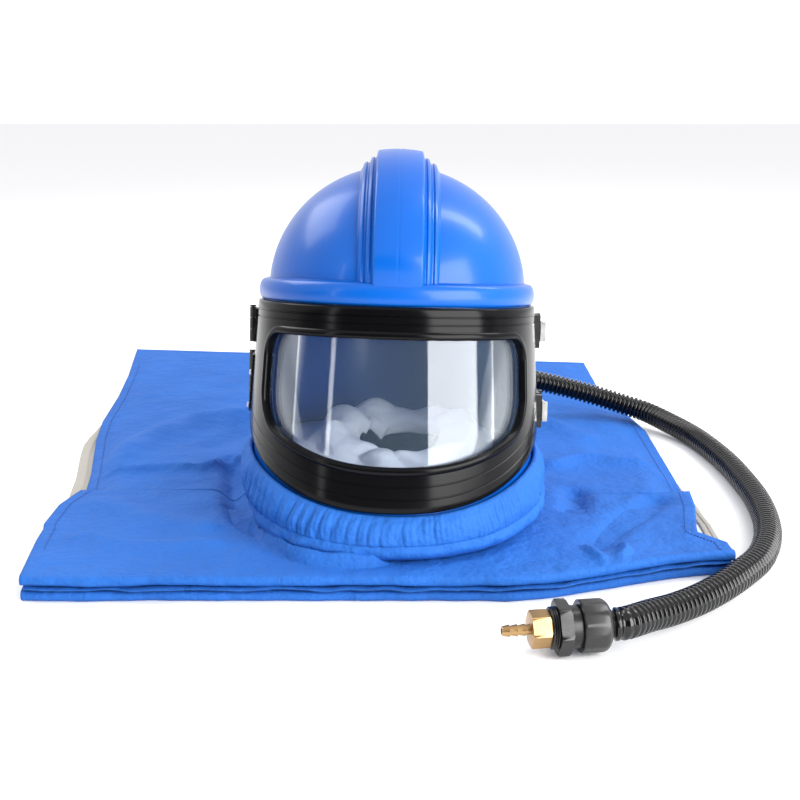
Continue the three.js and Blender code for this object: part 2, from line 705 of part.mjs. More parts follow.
// Collar rows: height as a share of the way from the top edge down to the roll's foot, how far out each
// lies, how much of the bulge it takes and how deep its gathers are.
const collarRows = [
  { down: 0.4, out: -3.4, bulge: 0, gather: 0 },
  { down: -0.06, out: 0.2, bulge: 0.2, gather: 0.3 },
  { down: 0.18, out: 2.4, bulge: 0.75, gather: 1 },
  { down: 0.48, out: 2.2, bulge: 0.95, gather: 1 },
  { down: 0.62, out: 0.2, bulge: 0.9, gather: 0.6 },
  { down: 0.78, out: 2.6, bulge: 1, gather: 0.6 },
  { down: 1, out: -1.4, bulge: 0.7, gather: 0.4 },
];
const ROLL_FOOT = 9;
const FOOT_LEAN = 6;
const FOOT_REACH = 1.2;

function collarLine(degrees, gatherPhase) {
  const top = collarTop(degrees);
  const angle = THREE.MathUtils.degToRad(degrees);
  const bulge = COLLAR_BULGE * (1 - Math.sin(angle));
  const topWorld = helmet.localToWorld(facePoint(degrees, top, 0));
  const drop = topWorld.z - STACK_HEIGHT - ROLL_FOOT + FOOT_LEAN * Math.cos(angle);
  const line = collarRows.map((row) => {
    const wave = row.gather * GATHER_DEPTH * gatherPhase;
    const out = row.out + row.bulge * bulge + wave;
    return helmet.localToWorld(facePoint(degrees, top - row.down * drop, out));
  });
  const foot = helmet.localToWorld(facePoint(degrees, top - FOOT_REACH * drop, -COLLAR_TUCK));
  foot.z = capeTop(foot.x, foot.y) + GAP + CLOTH / 2;
  line.push(foot);
  return line;
}

// Thickens lines of points in their own upright planes into a ring of cloth.
function clothRing(lines, centre) {
  const skin = (side) => lines.map((line) => line.map((p, i) => {
    const before = line[Math.max(0, i - 1)];
    const after = line[Math.min(line.length - 1, i + 1)];
    const outward = new THREE.Vector3(p.x - centre.x, p.y - centre.y, 0).normalize();
    const along = after.clone().sub(before);
    const radial = along.dot(outward);
    const length = Math.hypot(radial, along.z) || 1;
    const shift = side * CLOTH / 2 / length;
    return p.clone().addScaledVector(outward, -along.z * shift).add(new THREE.Vector3(0, 0, radial * shift));
  }));
  return wallSolid(skin(1), skin(-1), { ring: true });
}

function gatheredCollar() {
  const columns = COLLAR_GATHERS * 3;
  const waves = [1, 0, -1];
  const lines = range(columns).map((i) => collarLine((i / columns) * 360, waves[i % 3]));
  return clothRing(lines, NECK_CENTRE);
}
addMesh(part, 'gathered_collar', gatheredCollar(), cloth);

// Inner neck collar: white cloth that rises from the rim inside the shell and rolls in at the neck.
const INNER_TOP = 82;
const INNER_FRONT_DROP = 14;
const NECK_HOLE_RADIUS = 44;
const INNER_CLEARANCE = 0.5;
const INNER_SEAM = 4;
const innerRows = [
  { shift: 0, width: 1, level: 0 },
  { shift: 0.25, width: 0.84, level: 0.08 },
  { shift: 0.7, width: 0.64, level: 0.5 },
  { shift: 1, width: 0.58, level: 0.9 },
  { shift: 1, width: 0.53, level: 1 },
  { shift: 1, width: 0.46, level: 0.88 },
  { shift: 1, width: 0.43, level: 0.45 },
];
const INNER_COLUMNS = 24;

function innerCollar() {
  const lines = range(INNER_COLUMNS).map((i) => {
    const degrees = (i / INNER_COLUMNS) * 360;
    const angle = THREE.MathUtils.degToRad(degrees);
    const inside = -SHELL_INSET - SHELL_WALL - CLOTH / 2 - INNER_CLEARANCE;
    const rim = facePoint(degrees, collarTop(degrees) - RIM_TUCK + INNER_SEAM, inside);
    const start = helmet.localToWorld(rim);
    const neck = new THREE.Vector3(Math.sin(angle), -Math.cos(angle), 0);
    const top = INNER_TOP - INNER_FRONT_DROP * (1 + Math.cos(angle)) / 2 - 3 * Math.cos(2 * angle);
    return innerRows.map((row) => {
      const reach = NECK_HOLE_RADIUS * row.width / innerRows.at(-1).width;
      const inner = neck.clone().multiplyScalar(reach);
      const blend = smooth(0, 0.5, row.shift);
      const p = start.clone().lerp(inner, row.width === 1 ? 0 : 0.35 + 0.65 * blend);
      p.z = THREE.MathUtils.lerp(start.z, top, row.level);
      return p;
    });
  });
  return clothRing(lines, new THREE.Vector2(0, 0));
}
addMesh(part, 'inner_neck_collar', innerCollar(), whiteCloth);

// Elastic straps at the cape's two sides, laid flat under its edges: place along the side, and how far
// each strap's middle lies inside the edge above it.
const STRAP_THICKNESS = 1.6;
const straps = [
  {
    name: 'elastic_strap_left',
    side: 'left',
    width: 20,
    rows: [{ y: 256, inset: 14.5 }, { y: 180, inset: 2.5 }, { y: 90, inset: 1.7 }, { y: 10, inset: 1.3 },
      { y: -20, inset: 3.7 }],
  },
  {
    name: 'elastic_strap_right',
    side: 'right',
    width: 9,
    rows: [{ y: 66, inset: 2 }, { y: 30, inset: -2.3 }, { y: -10, inset: -5.6 }, { y: -60, inset: -14.1 }],
  },
];

function capeEdge(y, side) {
  if (y < SEAM_Y) {
    return edgeAt(frontEdges, (SEAM_Y - y) / (FRONT_EDGE + SEAM_Y), side);
  }
  const share = side === 'right' ? 1 - BACK_SKEW : 1;
  return edgeAt(backEdges, (y - SEAM_Y) / BACK_LENGTH / share, side);
}

for (const { name, side, width, rows } of straps) {
  const inward = side === 'left' ? 1 : -1;
  const edge = (way, z) => rows.map(({ y, inset }) =>
    new THREE.Vector3(capeEdge(y, side) + inward * inset + way * width / 2, y, z));
  const face = (z) => [edge(-1, z), edge(1, z)];
  addMesh(part, name, wallSolid(face(STRAP_THICKNESS), face(0)), whiteCloth);
}

// Fittings on the hose: a gland nut, the gland's hexagon body and a brass adapter with its barb.
const fitting = new THREE.Group();
fitting.position.copy(FITTING_PLACE);
const fittingAxis = new THREE.Vector3(-Math.cos(FITTING_TURN), -Math.sin(FITTING_TURN), 0);
fitting.quaternion.setFromUnitVectors(new THREE.Vector3(0, 1, 0), fittingAxis);
part.add(fitting);

function ringSolid(profile, sides) {
  return toSolid(new THREE.LatheGeometry(profile.map((p) => new THREE.Vector2(...p)), sides));
}

function hexagon(corners, length, start) {
  const geometry = new THREE.CylinderGeometry(corners / 2, corners / 2, length, 6);
  return toSolid(geometry, moved(0, start + length / 2, 0));
}

const nutRadius = NUT_DIAMETER / 2;
const nut = ringSolid([
  [0, 0],
  [nutRadius - 5, 0],
  [nutRadius - 1.6, 1.6],
  [nutRadius, 5],
  [nutRadius, NUT_LENGTH],
  [0, NUT_LENGTH],
], 18);
addMesh(fitting, 'gland_nut', toGeometry(nut), blackPlastic);

const bodyStart = NUT_LENGTH + GAP;
const hexStart = bodyStart + GLAND_NECK;
const threadEnd = hexStart + HEX_LENGTH + GLAND_THREAD_LENGTH;
const brassStart = threadEnd + GAP;
const glandBody = ringSolid([
  [0, bodyStart],
  [GLAND_THREAD_RADIUS, bodyStart],
  [GLAND_THREAD_RADIUS, threadEnd],
  [0, threadEnd],
], 18).add(hexagon(HEX_CORNERS, HEX_LENGTH, hexStart));
addMesh(fitting, 'gland_body', toGeometry(glandBody), blackPlastic);

const barbStart = brassStart + BRASS_HEX_LENGTH;
const barbRadius = BARB_DIAMETER / 2;
const barbRing = BARB_LENGTH / 3.6;
const barbProfile = [[0, barbStart - 1], [barbRadius - 0.9, barbStart - 1]];
for (const k of range(3)) {
  const y = barbStart + 3 + k * barbRing;
  barbProfile.push([barbRadius - 0.9, y], [barbRadius, y], [barbRadius - 0.9, y + barbRing - 0.4]);
}
barbProfile.push([barbRadius - 0.9, barbStart + BARB_LENGTH], [0, barbStart + BARB_LENGTH]);
const barbBore = new THREE.CylinderGeometry(BARB_BORE / 2, BARB_BORE / 2, BARB_LENGTH + 8, 12);
const adapter = ringSolid(barbProfile, 12)
  .add(hexagon(BRASS_CORNERS, BRASS_HEX_LENGTH, brassStart))
  .subtract(toSolid(barbBore, moved(0, barbStart + BARB_LENGTH / 2, 0)));
addMesh(fitting, 'brass_adapter', toGeometry(adapter), brass);

// Route of the hose's centre, from the inlet round the right side to the fittings.
const inletEnd = inlet.localToWorld(new THREE.Vector3(0, INLET_LENGTH + GAP, 0));
const inletAway = inlet.localToWorld(new THREE.Vector3(0, INLET_LENGTH + 14, 0));
const hoseRoute = [
  [22, 196, 74], [52, 232, 66], [88, 255, 57], [122, 265, 49], [155, 268, 42], [194, 263, 33],
  [226, 254, 25], [252, 240, 19], [272, 214, 14], [287, 182, 11], [293, 150, 10.9], [297, 116, 10.9],
  [299, 81, 10.9], [299, 46, 10.9], [298, 11, 10.9], [294, -25, 10.9], [287, -61, 10.9], [276, -95, 10.9],
  [261, -125, 10.9], [245, -146, 10.9], [226, -168, 10.9], [203, -190.5, 11], [181, -209, 12.2],
  [160, -226, 15.2],
];
const nutFace = FITTING_PLACE.clone().addScaledVector(fittingAxis, -GAP);
const nutAway = FITTING_PLACE.clone().addScaledVector(fittingAxis, -9);

function airHose() {
  const middle = hoseRoute.map((p) => new THREE.Vector3(...p));
  const centres = [inletEnd, inletAway, ...middle, nutAway, nutFace];
  const extrudePath = new THREE.CatmullRomCurve3(centres, false, 'centripetal');
  const corners = range(HOSE_SIDES).map((i) => {
    const angle = ((i + 0.5) / HOSE_SIDES) * Math.PI * 2;
    return new THREE.Vector2(Math.cos(angle), Math.sin(angle)).multiplyScalar(HOSE_DIAMETER / 2);
  });
  const section = new THREE.Shape(corners);
  return tidied(new THREE.ExtrudeGeometry(section, { steps: HOSE_STEPS, bevelEnabled: false, extrudePath }));
}
addMesh(part, 'air_hose', airHose(), blackPlastic);

part.position.y = NECK_BEHIND_ORIGIN;

export default part;
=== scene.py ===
import math

import bmesh
import bpy
import numpy as np
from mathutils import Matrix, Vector


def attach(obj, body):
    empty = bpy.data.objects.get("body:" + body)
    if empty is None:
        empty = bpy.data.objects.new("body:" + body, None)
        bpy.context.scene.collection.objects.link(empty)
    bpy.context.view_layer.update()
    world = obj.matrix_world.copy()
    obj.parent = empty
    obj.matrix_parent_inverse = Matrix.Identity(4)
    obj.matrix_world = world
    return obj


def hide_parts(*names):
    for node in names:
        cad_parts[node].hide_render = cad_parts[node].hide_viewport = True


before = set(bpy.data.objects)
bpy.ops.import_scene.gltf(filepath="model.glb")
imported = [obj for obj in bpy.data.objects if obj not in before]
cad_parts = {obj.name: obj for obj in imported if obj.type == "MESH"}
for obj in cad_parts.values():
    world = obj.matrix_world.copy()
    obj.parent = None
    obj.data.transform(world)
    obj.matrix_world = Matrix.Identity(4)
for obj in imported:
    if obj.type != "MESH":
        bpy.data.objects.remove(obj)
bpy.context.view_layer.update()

# Camera: it stands 0.8 m in front of the hood and 0.35 m above the table, and looks down along +Y by 15
# degrees, through a lens of about normal length.
def add_object(name, data):
    made = bpy.data.objects.new(name, data)
    bpy.context.scene.collection.objects.link(made)
    return made


camera = add_object("camera", bpy.data.cameras.new("camera"))
camera.location = (0, -0.823, 0.3478)
camera.rotation_euler = (math.radians(90 - 15.3466), 0, 0)
camera.data.lens = 52.47
camera.data.sensor_width = 36
bpy.context.scene.camera = camera


# Air hose: black corrugated polyamide conduit, extruded as a tube and pressed into ribs by moulding jaws.
# It leaves the inlet at the back of the helmet, rounds the cape's right side and ends in the gland.
MM = 0.001
NECK_BEHIND_ORIGIN = 90
HOSE_DIAMETER = 21.2
RIB_PITCH = 4.6
HOSE_ROUTE = [
    [-5.4, 143.9, 76.3], [-5.5, 157.4, 74.3],
    [22, 196, 74], [52, 232, 66], [88, 255, 57], [122, 265, 49], [155, 268, 42], [194, 263, 33],
    [226, 254, 25], [252, 240, 19], [272, 214, 14], [287, 182, 11], [293, 150, 10.9], [297, 116, 10.9],
    [299, 81, 10.9], [299, 46, 10.9], [298, 11, 10.9], [294, -25, 10.9], [287, -61, 10.9], [276, -95, 10.9],
    [261, -125, 10.9], [245, -146, 10.9], [226, -168, 10.9], [203, -190.5, 11], [181, -209, 12.2], [160, -226, 15.2],
]
FITTING_PLACE = np.array([131, -244, 18.1])
FITTING_TURN = math.radians(8)
fitting_axis = np.array([-math.cos(FITTING_TURN), -math.sin(FITTING_TURN), 0])


def linear(code):
    """The linear colour of an sRGB hex code."""
    values = [int(code[i:i + 2], 16) / 255 for i in (0, 2, 4)]
    return (*[v / 12.92 if v <= 0.04045 else ((v + 0.055) / 1.055) ** 2.4 for v in values], 1)


def add_node(tree, kind, inputs=(), **settings):
    """A node of a tree. inputs gives each input, by name or number, a value, or the socket or the node, by its
    first output, that feeds it."""
    node = tree.nodes.new(kind)
    for key, value in settings.items():
        setattr(node, key, value)
    for key, value in dict(inputs).items():
        value = value.outputs[0] if isinstance(value, bpy.types.Node) else value
        if isinstance(value, bpy.types.NodeSocket):
            tree.links.new(value, node.inputs[key])
        else:
            node.inputs[key].default_value = value
    return node


def new_material(name):
    """A new material, its tree, and the object's own coordinates there."""
    material = bpy.data.materials.new(name)
    material.use_nodes = True
    tree = material.node_tree
    tree.nodes.clear()
    return material, tree, add_node(tree, "ShaderNodeTexCoord").outputs["Object"]


def surface(tree, inputs, kind="ShaderNodeBsdfPrincipled"):
    """Ends a material in a shader."""
    shader = add_node(tree, kind, inputs)
    add_node(tree, "ShaderNodeOutputMaterial", {"Surface": shader})


def maths(tree, operation, *values):
    return add_node(tree, "ShaderNodeMath", dict(enumerate(values)), operation=operation)


def noise(tree, vector, size, detail=3.0, roughness=0.5):
    """Noise with features about size mm across."""
    return add_node(tree, "ShaderNodeTexNoise", {
        "Vector": vector, "Scale": 1 / (size * MM), "Detail": detail, "Roughness": roughness})


def mapped(tree, value, low, high, to_low, to_high, **settings):
    return add_node(tree, "ShaderNodeMapRange", {
        "Value": value, "From Min": low, "From Max": high, "To Min": to_low, "To Max": to_high}, **settings)


def varied(tree, pattern, low, high):
    """A noise node's grey, spread over a range of values."""
    return mapped(tree, pattern, 0.3, 0.7, low, high)


def mixed(tree, share, one, other):
    return add_node(tree, "ShaderNodeMix", {"Factor": share, 6: one, 7: other}, data_type="RGBA").outputs[2]


def bumped(tree, height, strength, depth, **more):
    """A bump of a depth in mm."""
    return add_node(tree, "ShaderNodeBump", {"Height": height, "Strength": strength, "Distance": depth * MM, **more})


def smooth_path(points, steps):
    """A centripetal Catmull-Rom curve through the points, with so many steps from each to the next."""
    points = np.array(points, float)
    p = np.vstack([2 * points[0] - points[1], points, 2 * points[-1] - points[-2]])
    step = np.diff(p, axis=0)
    gap = np.linalg.norm(step, axis=1, keepdims=True) ** 0.5
    tangent = (step / gap)[:-1] - (p[2:] - p[:-2]) / (gap[:-1] + gap[1:]) + (step / gap)[1:]
    leave, arrive = (tangent[:-1] * gap[1:-1])[:, None], (tangent[1:] * gap[1:-1])[:, None]
    t = (np.arange(steps) / steps)[:, None]
    curve = ((2 * t**3 - 3 * t**2 + 1) * p[1:-2, None] + (t**3 - 2 * t**2 + t) * leave
             + (3 * t**2 - 2 * t**3) * p[2:-1, None] + (t**3 - t**2) * arrive)
    return np.vstack([curve.reshape(-1, p.shape[1]), points[-1:]])


def on_table(points):
    """Points laid out from under the neck, in mm, as points of the shared frame, in metres."""
    return (np.asarray(points, float) + [0, NECK_BEHIND_ORIGIN, 0]) * MM


def poly_curve(name, lines):
    """A curve object of open lines of points, in the shared frame."""
    data = bpy.data.curves.new(name, "CURVE")
    data.dimensions = "3D"
    for line in lines:
        spline = data.splines.new("POLY")
        spline.points.add(len(line) - 1)
        spline.points.foreach_set("co", np.hstack([line, np.ones((len(line), 1))]).ravel())
    return add_object(name, data)


def grown(name, source, tree, values, body):
    """The mesh that a Geometry Nodes tree grows on a source object, as a plain piece that rides a body."""
    modifier = source.modifiers.new("grow", "NODES")
    modifier.node_group = tree
    for item in tree.interface.items_tree:
        if item.name in values:
            modifier[item.identifier] = values[item.name]
    bpy.context.view_layer.update()
    evaluated = source.evaluated_get(bpy.context.evaluated_depsgraph_get())
    mesh = bpy.data.meshes.new_from_object(evaluated)
    source.modifiers.remove(modifier)
    bpy.data.objects.remove(source)
    piece = add_object(name, mesh)
    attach(piece, body)
    return piece


def new_tree(name, sizes):
    """An empty Geometry Nodes tree with named inputs for its sizes and its material."""
    tree = bpy.data.node_groups.new(name, "GeometryNodeTree")
    tree.interface.new_socket("Geometry", in_out="INPUT", socket_type="NodeSocketGeometry")
    for label, value in sizes.items():
        kind = "NodeSocketInt" if isinstance(value, int) else "NodeSocketFloat"
        tree.interface.new_socket(label, in_out="INPUT", socket_type=kind).default_value = value
    tree.interface.new_socket("Material", in_out="INPUT", socket_type="NodeSocketMaterial")
    tree.interface.new_socket("Geometry", in_out="OUTPUT", socket_type="NodeSocketGeometry")
    return tree, tree.nodes.new("NodeGroupInput").outputs


def end_tree(tree, geometry, given):
    """Ends a tree in Realize Instances and Set Material."""
    real = add_node(tree, "GeometryNodeRealizeInstances", {"Geometry": geometry})
    coloured = add_node(tree, "GeometryNodeSetMaterial", {
        "Geometry": real, "Material": given["Material"]})
    add_node(tree, "NodeGroupOutput", {"Geometry": coloured})


def ribbed_tube():
    """A tree that sweeps a ribbed tube along a curve. The ribs are a rounded wave of the length."""
    tree, given = new_tree("ribbed_tube", {"Radius": 0.01, "Pitch": 0.004, "Depth": 0.1, "Sides": 20})
    step = maths(tree, "DIVIDE", given["Pitch"], 8.0)
    line = add_node(tree, "GeometryNodeResampleCurve", {"Curve": given["Geometry"], "Length": step}, mode="LENGTH")
    along = add_node(tree, "GeometryNodeSplineParameter")
    turns = maths(tree, "DIVIDE", along.outputs["Length"], given["Pitch"])
    wave = maths(tree, "COSINE", maths(tree, "MULTIPLY", turns, math.tau))
    groove = mapped(tree, wave, -0.35, 0.75, 0.0, 1.0, interpolation_type="SMOOTHSTEP")
    share = maths(tree, "SUBTRACT", 1.0, maths(tree, "MULTIPLY", groove, given["Depth"]))
    ring = add_node(tree, "GeometryNodeCurvePrimitiveCircle", {
        "Resolution": given["Sides"], "Radius": given["Radius"]})
    tube = add_node(tree, "GeometryNodeCurveToMesh", {
        "Curve": line, "Profile Curve": ring, "Scale": share,
        "Fill Caps": True})
    end_tree(tree, tube, given)
    return tree


# The satin black polyamide: long soft highlights on the ribs, a little dust in the grooves.
hose_plastic, tree, coords = new_material("black_polyamide_moulded_satin")
dust = noise(tree, coords, 14)
surface(tree, {
    "Base Color": linear("050506"), "Roughness": varied(tree, dust, 0.13, 0.19),
    "IOR": 1.53, "Specular IOR Level": 0.42})

nut_face = FITTING_PLACE - fitting_axis * 0.3
nut_away = FITTING_PLACE - fitting_axis * 9
hose_path = on_table(smooth_path([*HOSE_ROUTE, nut_away, nut_face], 10))
air_hose = grown("corrugated_air_hose", poly_curve("hose_line", [hose_path]), ribbed_tube(), {
    "Radius": HOSE_DIAMETER / 2 * MM, "Pitch": RIB_PITCH * MM, "Depth": 0.2, "Sides": 20,
    "Material": hose_plastic}, "hood")
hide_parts("air_hose")


# Helmet shell: a dome injection moulded in blue polypropylene, with a raised crest from brim to nape, a
# rolled brim and a plain wall down behind the visor. One wall of 3 mm, hollow inside.
HELMET_PLACE = np.array([-2.4, 12, 185])
LEAN_BACK = math.radians(-8.5)
ROLL_RIGHT = math.radians(1.6)
FACE_HALF_WIDTH, FACE_FRONT, FACE_BACK = 108.5, 128, 125
ARC = (FACE_HALF_WIDTH + FACE_FRONT) / 2 * math.pi / 180
OVAL_POWER = 2.25
# The wall widens downwards: mm at the sides and at the front, for each 120 mm.
FLARE_SIDE, FLARE_FRONT = 7.5, 4.5
# The window: half its width in degrees, its edges' heights, and the radius of its corners.
WINDOW_HALF = 57
WINDOW_TOP, WINDOW_SILL = -31, -121
TOP_CORNER, SILL_CORNER = 18, 20
SILL_RISE = 62
COLLAR_TOP, COLLAR_DIP = -118, 40
SHELL_OFFSET = -5
SHELL_WALL = 3
BRIM_ROLL = 8
DOME_INSET = 7.5
DOME_HEIGHT = 98


def smooth(low, high, value):
    t = np.clip((np.asarray(value, float) - low) / (high - low), 0, 1)
    return t * t * (3 - 2 * t)


def plan(turn, half_width, front, back):
    """A point of the rounded oval: turn in degrees, 0 at the front and 90 at +X."""
    s, c = np.sin(np.radians(turn)), np.cos(np.radians(turn))
    x = half_width * np.sign(s) * np.abs(s) ** (2 / OVAL_POWER)
    y = -np.where(c > 0, front, back) * np.sign(c) * np.abs(c) ** (2 / OVAL_POWER)
    return x, y


def face_point(turn, z, offset):
    """A point of the helmet's wall, offset mm outside the visor's face."""
    turn, z, offset = np.broadcast_arrays(turn, z, offset)
    k = np.clip(-z / 120, -0.1, 1.4)
    x, y = plan(turn, FACE_HALF_WIDTH + FLARE_SIDE * k + offset, FACE_FRONT + FLARE_FRONT * k + offset,
                FACE_BACK + FLARE_FRONT * k + offset)
    return np.stack([x, y, z], -1)


def from_helmet(points):
    """Points of the leaning helmet as points laid out from under the neck, in mm."""
    cy, sy, cx, sx = math.cos(ROLL_RIGHT), math.sin(ROLL_RIGHT), math.cos(LEAN_BACK), math.sin(LEAN_BACK)
    roll = np.array([[cy, 0, sy], [0, 1, 0], [-sy, 0, cy]])
    lean = np.array([[1, 0, 0], [0, cx, -sx], [0, sx, cx]])
    return np.asarray(points, float) @ (roll @ lean).T + HELMET_PLACE


def volume(points, faces):
    p = points[faces]
    return np.einsum("ij,ij->i", p[:, 0], np.cross(p[:, 1], p[:, 2]) + np.cross(p[:, 2], p[:, 3])).sum()


def wall(outer, inner, ring=False, kept=None):
    """Points, faces and face corners' UV, in metres, of a closed skin through two grids of points, grid[column, row].
    kept says which of its cells there are, and ring joins the last column to the first."""
    columns, rows = outer.shape[:2]
    cells = columns if ring else columns - 1
    kept = np.ones((cells, rows - 1), bool) if kept is None else kept
    i, j = np.nonzero(kept)
    n = (i + 1) % columns
    front = np.stack([i * rows + j, n * rows + j, n * rows + j + 1, i * rows + j + 1], 1)
    again = np.vstack([outer, outer[:1]]) if ring else outer
    u, v = (np.insert(np.cumsum(np.linalg.norm(np.diff(grid, axis=way), axis=-1).mean(1 - way)), 0, 0) * MM
            for way, grid in ((0, again), (1, outer)))
    uv = np.stack([np.stack([u[i], u[i + 1], u[i + 1], u[i]], 1), np.stack([v[j], v[j], v[j + 1], v[j + 1]], 1)], -1)
    back = front[:, ::-1] + columns * rows
    starts, ends = front.ravel(), np.roll(front, -1, 1).ravel()
    known = set(zip(starts.tolist(), ends.tolist()))
    rim = [k for k, (a, b) in enumerate(zip(starts.tolist(), ends.tolist())) if (b, a) not in known]
    a, b = starts[rim], ends[rim]
    side = np.stack([b, a, a + columns * rows, b + columns * rows], 1)
    uv_a, uv_b = uv.reshape(-1, 2)[rim], np.roll(uv, -1, 1).reshape(-1, 2)[rim]
    points = np.concatenate([outer.reshape(-1, 3), inner.reshape(-1, 3)])
    faces = np.concatenate([front, back, side])
    uvs = np.concatenate([uv, uv[:, ::-1], np.stack([uv_b, uv_a, uv_a, uv_b], 1)])
    if volume(points, faces) < 0:
        faces, uvs = faces[:, ::-1], uvs[:, ::-1]
    return points, faces, uvs


def make_piece(name, parts, material, body, sharp=38):
    """One piece from walls laid out from under the neck, in mm: each is its points, faces and UV."""
    mesh = bpy.data.meshes.new(name)
    start = 0
    points, faces, uvs = [], [], []
    for part_points, part_faces, uv in parts:
        points.append(on_table(part_points))
        faces.extend((part_faces + start).tolist())
        uvs.append(uv.reshape(-1, 2))
        start += len(part_points)
    mesh.from_pydata(np.concatenate(points).tolist(), [], faces)
    mesh.uv_layers.new(name="cut").data.foreach_set("uv", np.concatenate(uvs).ravel())
    work = bmesh.new()
    work.from_mesh(mesh)
    bmesh.ops.delete(work, geom=[v for v in work.verts if not v.link_faces], context="VERTS")
    bmesh.ops.remove_doubles(work, verts=work.verts, dist=2e-6)
    bmesh.ops.dissolve_degenerate(work, edges=work.edges, dist=1e-6)
    work.to_mesh(mesh)
    work.free()
    mesh.shade_smooth()
    mesh.set_sharp_from_angle(angle=math.radians(sharp))
    mesh.materials.append(material)
    piece = add_object(name, mesh)
    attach(piece, body)
    return piece


def sill_rise(turn):
    """How far the lower edges climb towards the sides."""
    return SILL_RISE * (1 - np.cos(np.radians(turn)))


def corner_drop(turn, half_length, radius):
    """How far a rounded corner cuts into an edge at a turn."""
    past = np.maximum(np.abs(turn) * ARC - (half_length - radius), 0)
    return radius - np.sqrt(np.maximum(0, radius**2 - past**2))


def window_band(turn, margin):
    """The window's lower and upper edge at a turn, margin mm outside it."""
    end = WINDOW_HALF * ARC + margin
    high = WINDOW_TOP + margin - corner_drop(turn, end, TOP_CORNER + margin)
    low = WINDOW_SILL + sill_rise(turn) - margin + corner_drop(turn, end, SILL_CORNER + margin)
    return low, high


def window_turns(margin, steps=40):
    """Turns across the window, closer together in its corners."""
    end = WINDOW_HALF + margin / ARC
    bend = (SILL_CORNER + margin) / ARC
    flat = np.linspace(0, end - bend, steps, endpoint=False)
    curved = end - bend + bend * np.sin(np.linspace(0, np.pi / 2, 17))
    right = np.hstack([flat, curved])
    return np.hstack([-right[:0:-1], right])


def collar_top(turn):
    """Height of the collar's upper edge on the helmet: it dips in front."""
    return COLLAR_TOP - COLLAR_DIP * ((1 + np.cos(np.radians(turn))) / 2) ** 3.1


def shell_wall():
    """The dome, brim and wall as one skin, with the opening behind the lens left out."""
    margin = 9
    window = window_turns(margin, 30)
    side = np.linspace(window[-1], 360 + window[0], 150)[1:-1]
    turns = np.hstack([window, side])
    within = np.abs(turns) <= window[-1] + 1e-6
    held = np.where(within, turns, window[-1])
    low, high = window_band(held, margin)
    bottom = collar_top(turns) - 8
    lean = smooth(window[-1], window[-1] + 40, np.abs(np.where(turns > 180, 360 - turns, turns)))
    low = low + (bottom + 22 - low) * lean * (low < bottom + 22)
    roll = np.radians(np.linspace(-90, 90, 15)[1:])
    below, beside = 8, 14
    rising = np.hstack([np.linspace(bottom, low, below, axis=1), np.linspace(low, high, beside, axis=1)[:, 1:],
                        np.linspace(high, -BRIM_ROLL, 6, axis=1)[:, 1:]])
    heights = np.hstack([rising, np.tile(BRIM_ROLL * np.sin(roll), (len(turns), 1))])
    outward = np.hstack([np.zeros(rising.shape[1]), 5 * np.cos(roll) ** 0.75])
    rises = np.linspace(math.asin((BRIM_ROLL + 1) / DOME_HEIGHT), np.pi / 2, 42)
    r = np.cos(rises)

    def skin(inward):
        lower = face_point(turns[:, None], heights, SHELL_OFFSET - inward if inward else SHELL_OFFSET + outward)
        inset = DOME_INSET + inward
        x, y = plan(turns[:, None], (FACE_HALF_WIDTH - inset) * r, (FACE_FRONT - inset) * r, (FACE_BACK - inset) * r)
        upper = np.stack([x, y, np.tile((DOME_HEIGHT - inward) * np.sin(rises), (len(turns), 1))], -1)
        return from_helmet(np.hstack([lower, upper]))

    kept = np.ones((len(turns), heights.shape[1] + len(rises) - 1), bool)
    kept[:len(window) - 1, below - 1:below + beside - 2] = False
    return wall(skin(0), skin(SHELL_WALL), ring=True, kept=kept)


# Section of the crest from its middle out: mm across, and height over the dome.
CREST_SECTION = [
    (0, 13), (16.6, 13), (17.4, 12.6), (18.6, 8.2), (19.6, 7.4), (20.4, 8.6), (22.4, 8.2), (23.4, 5.2),
    (24.8, 4.6), (25.8, 6), (27.8, 5.4), (29.2, 2.2), (31, 0),
]
CREST_FLAT, CREST_HALF = 16, 31


def crest():
    """The crest: a flat top between two stepped shoulders, laid over the dome from brim to nape."""
    across, height = np.array(CREST_SECTION).T
    shoulder = np.linspace(CREST_FLAT, CREST_HALF, 56)
    x = np.hstack([-shoulder[::-1], np.linspace(-CREST_FLAT, CREST_FLAT, 41)[1:-1], shoulder])
    fine = np.linspace(-34, 34, 1361)
    rounding = np.exp(-(np.linspace(-1, 1, 41) / 0.3) ** 2)
    level = np.interp(np.abs(fine), across, height) - 0.25 * np.exp(-(fine / 0.35) ** 2)
    level = np.convolve(level, rounding / rounding.sum(), "same")
    lift = np.interp(x, fine, level)
    turns = np.linspace(3, 177, 120)[:, None]
    rim = smooth(0, 14, np.minimum(turns, 180 - turns))
    k = np.sqrt(1 - (x / (FACE_HALF_WIDTH - DOME_INSET)) ** 2)
    length = np.where(turns < 90, FACE_FRONT, FACE_BACK) - DOME_INSET
    angle = np.radians(turns)

    def skin(out):
        y = -np.cos(angle) * (length * k + out)
        z = np.sin(angle) * (DOME_HEIGHT * k + out)
        return from_helmet(np.stack([np.broadcast_to(x, y.shape), y, z], -1))
    return wall(skin(lift * (0.45 + 0.55 * rim)), skin(np.full_like(lift * rim, -1.5)))


